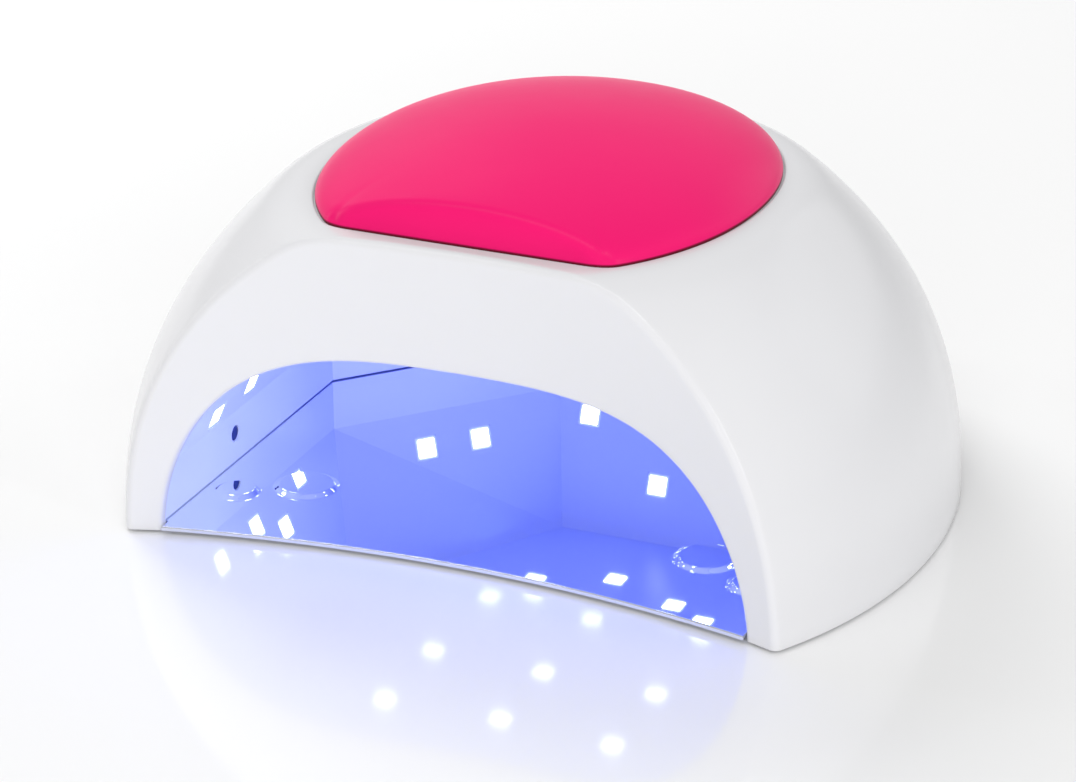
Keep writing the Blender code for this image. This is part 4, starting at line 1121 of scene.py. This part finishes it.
def make_controls(panel, materials):
    """The bezel, the smoked display with its lit digits, and four timer buttons."""
    half_row = (len(BUTTON_TIMES) - 1) / 2
    centres = [(BUTTON_PITCH * (index - half_row), BUTTON_PLACE) for index in range(len(BUTTON_TIMES))]
    outlines = [
        rounded_rectangle(PANEL_SIZE[0] - 2 * GAP, PANEL_SIZE[1] - 2 * GAP, PANEL_CORNER - GAP),
        rounded_rectangle(DISPLAY_SIZE[0] + 2 * GAP, DISPLAY_SIZE[1] + 2 * GAP, 1.5, (0, DISPLAY_PLACE)),
        *[circle(BUTTON_RADIUS + GAP, centre) for centre in centres],
    ]
    bezel = plate("bezel", outlines, -BEZEL_THICKNESS, 0.0, BEZEL_EDGE, panel)
    piece(bezel, materials["bezel"], "housing", "bezel", "control_bezel")
    lens = rounded_rectangle(*DISPLAY_SIZE, 1.3, (0, DISPLAY_PLACE))
    window = plate("display_lens", [lens], -1.5, DIGIT_Z[0], 0.2, panel)
    piece(window, materials["display_lens"], "housing", "display_lens", "display_window")
    digits = []
    for digit, x in SHOWN_DIGITS:
        digits += digit_segments(digit, (x, DISPLAY_PLACE))
    shown = plate("display_digits", digits, *DIGIT_Z, 0.0, panel)
    piece(shown, materials["digits"], "housing", "display_lens")
    profile = [
        (0.1, 0.58), (2.7, 0.58), (3.0, 0.62), (3.2, 0.7), (3.4, 0.78), (3.55, 0.8), (3.7, 0.76),
        (3.82, 0.66), (3.88, 0.5), (BUTTON_RADIUS, 0.3), (BUTTON_RADIUS, -1.9), (4.8, -2.0),
        (4.8, -2.9), (1.5, -2.9), (1.5, -3.4), (0.1, -3.4),
    ]
    for time, centre in zip(BUTTON_TIMES, centres):
        body = f"button_{time}s"
        middle = panel @ Matrix.Translation((centre[0] * MM, centre[1] * MM, 0))
        cap = turned(f"cap_{time}", profile, middle, 56)
        piece(cap, materials["button"], body, "button", body)
        printed = numerals(f"numeral_{time}", time, middle @ Matrix.Translation((0, 0, NUMERAL_Z * MM)))
        piece(printed, materials["print"], body, "button")


def make_inlet(material):
    """The supply socket with its rounded flange and centre pin."""
    front = INLET_FACE_Y + FLANGE_THICKNESS
    profile = [
        (0.05, front - 0.8), (0.7, front - 0.85), (1.0, front - 1.2), (1.0, SOCKET_FLOOR_Y),
        (2.9, SOCKET_FLOOR_Y), (2.9, front - 0.4), (3.1, front - 0.1), (3.4, front), (4.9, front),
        (5.25, front - 0.15), (5.4, front - 0.5), (5.4, INLET_FACE_Y + GAP),
        (INLET_RADIUS, INLET_FACE_Y + GAP), (INLET_RADIUS, INLET_BACK_Y), (0.05, INLET_BACK_Y),
    ]
    place = Matrix.Translation((0, 0, INLET_Z * MM)) @ BACKWARDS
    piece(turned("supply_socket", profile, place, 56), material, "housing", "inlet", "dc_jack")


# ---- camera, floor and lights

def make_camera():
    """A long lens, 23 degrees round to the right and 23 degrees up."""
    azimuth, elevation, roll = (math.radians(v) for v in CAMERA_TURN)
    back = Vector((
        math.sin(azimuth) * math.cos(elevation), -math.cos(azimuth) * math.cos(elevation),
        math.sin(elevation),
    ))
    data = bpy.data.cameras.new("camera")
    data.sensor_width = 36.0
    data.lens = CAMERA_LENS
    data.clip_start = 0.05
    data.clip_end = 50.0
    camera = linked("camera", data)
    turn = back.to_track_quat("Z", "Y").to_matrix().to_4x4()
    camera.matrix_world = Matrix.Translation(CAMERA_PLACE) @ turn @ Matrix.Rotation(roll, 4, "Z")
    bpy.context.scene.camera = camera


def area_light(name, place, target, size, power, colour=(1.0, 1.0, 1.0)):
    """A soft rectangular light aimed at a point."""
    data = bpy.data.lights.new(name, "AREA")
    data.shape = "RECTANGLE"
    data.size, data.size_y = size
    data.energy = power
    data.color = colour
    light = linked(name, data)
    aim = (Vector(target) - Vector(place)).to_track_quat("-Z", "Y")
    light.matrix_world = Matrix.Translation(place) @ aim.to_matrix().to_4x4()
    return light


def make_stage():
    """A glossy white floor, a white surround and soft lights."""
    world = bpy.data.worlds.new("surround")
    world.use_nodes = True
    background = world.node_tree.nodes["Background"]
    set_inputs(background, Color=(1.0, 1.0, 1.0), Strength=SURROUND_STRENGTH)
    bpy.context.scene.world = world
    bpy.context.scene.view_settings.view_transform = "Standard"
    bm = bmesh.new()
    bmesh.ops.create_circle(bm, cap_ends=True, radius=FLOOR_RADIUS, segments=64)
    floor = object_of(bm, "floor")
    made, tree, shader = nodes_of("floor_white")
    set_inputs(shader, Base_Color=(1.0, 1.0, 1.0), IOR=FLOOR_IOR)
    tree.links.new(spread(tree, noise(tree, 12.0, 3.0), *FLOOR_ROUGHNESS), shader.inputs["Roughness"])
    floor.data.materials.append(made)
    for name, (place, size, power, reflected) in LIGHTS.items():
        light = area_light(name, place, LIGHT_AIM, size, power)
        light.visible_glossy = reflected


# ---- everything

def finish_frame(materials):
    """Gives the carried-over nodes the material of their slot."""
    slots = {part["node"]: part["material_slot"] for part in frame["record"]["subparts"]}
    for name, obj in frame["nodes"].items():
        obj.data.materials.clear()
        obj.data.materials.append(materials[slots[name]])


def make_materials():
    """A material for each of the record's slots, and for the printed and lit details."""
    return {
        "housing": moulded("housing_white", (0.80, 0.80, 0.82), 0.2, depth=0.000003, smudge=0.01, shift=0.01),
        "pad_silicone": silicone("pad_pink"),
        "liner": liner_with_painted_light("liner_white"),
        "frame": moulded("frame_white", (0.75, 0.75, 0.77), 0.45, grain=700.0, depth=0.00004),
        "mirror_steel": brushed("mirror_steel", (0.88, 0.90, 0.99), 0.03, (1.0, 60.0, 60.0), depth=0.0),
        "foot_rubber": moulded("foot_rubber", (0.035, 0.035, 0.037), 0.7, grain=1400.0, depth=0.00005),
        "magnet_nickel": brushed("magnet_nickel", (0.62, 0.61, 0.60), 0.2, (1.0, 1.0, 1.0)),
        "screw_steel": brushed("screw_steel", (0.58, 0.58, 0.60), 0.3, (1.0, 1.0, 20.0)),
        "led_board": moulded("board_white", (0.85, 0.86, 0.90), 0.4),
        "sensor_lens": moulded("sensor_dark", (0.02, 0.035, 0.2), 0.12, smudge=0.02),
        "bezel": moulded("bezel_white", (0.78, 0.78, 0.80), 0.3),
        "display_lens": moulded("lens_smoked", (0.012, 0.012, 0.015), 0.08, depth=0.000002, smudge=0.02),
        "button": moulded("button_grey", (0.62, 0.62, 0.64), 0.38, grain=1500.0),
        "component": moulded("component_black", (0.02, 0.02, 0.022), 0.45, grain=1200.0),
        "circuit_board": circuit("circuit_board"),
        "capacitor": moulded("capacitor_sleeve", (0.03, 0.045, 0.12), 0.35),
        "coil": brushed("coil_copper", (0.72, 0.30, 0.15), 0.35, (40.0, 1.0, 40.0)),
        "heat_sink": brushed("heat_sink", (0.70, 0.70, 0.72), 0.35, (1.0, 1.0, 30.0)),
        "inlet": moulded("inlet_black", (0.018, 0.018, 0.02), 0.35, grain=1200.0),
        "lead": moulded("lead_sheath", (0.45, 0.02, 0.02), 0.45, grain=1600.0),
        "lens_lit": glowing("diode_light", DIODE_COLOUR, DIODE_STRENGTH),
        # Painted glow: the packages give a faint violet light of their own, standing in for the halo round
        # each diode.
        "package": moulded(
            "diode_package", (0.85, 0.86, 0.88), 0.4,
            Emission_Color=LIGHT_COLOUR, Emission_Strength=PACKAGE_PAINTED_GLOW_STRENGTH,
        ),
        "digits": glowing("digit_light", DIGIT_COLOUR, DIGIT_STRENGTH),
        "print": moulded("print_dark", (0.06, 0.06, 0.065), 0.5),
    }


def make_glow():
    """The diodes' light inside the hand space, from one soft source under the ceiling."""
    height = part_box("led_board_ceiling")[0].z - GLOW_DROP
    place, aim = (0, GLOW_Y, height), (0, GLOW_Y, 0)
    lamp = area_light("ceiling_glow", place, aim, GLOW_SIZE, GLOW_POWER, LIGHT_COLOUR)
    lamp.visible_camera = False
    lamp.visible_glossy = False
    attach(lamp, "housing")


panel = panel_frame()
materials = make_materials()
make_camera()
make_stage()
finish_frame(materials)
make_shell(materials["housing"], panel)
make_pad(materials["pad_silicone"])
make_plate(materials["mirror_steel"])
make_feet(materials["foot_rubber"])
make_diodes(materials["lens_lit"], materials["package"])
make_controls(panel, materials)
make_inlet(materials["inlet"])
make_glow()
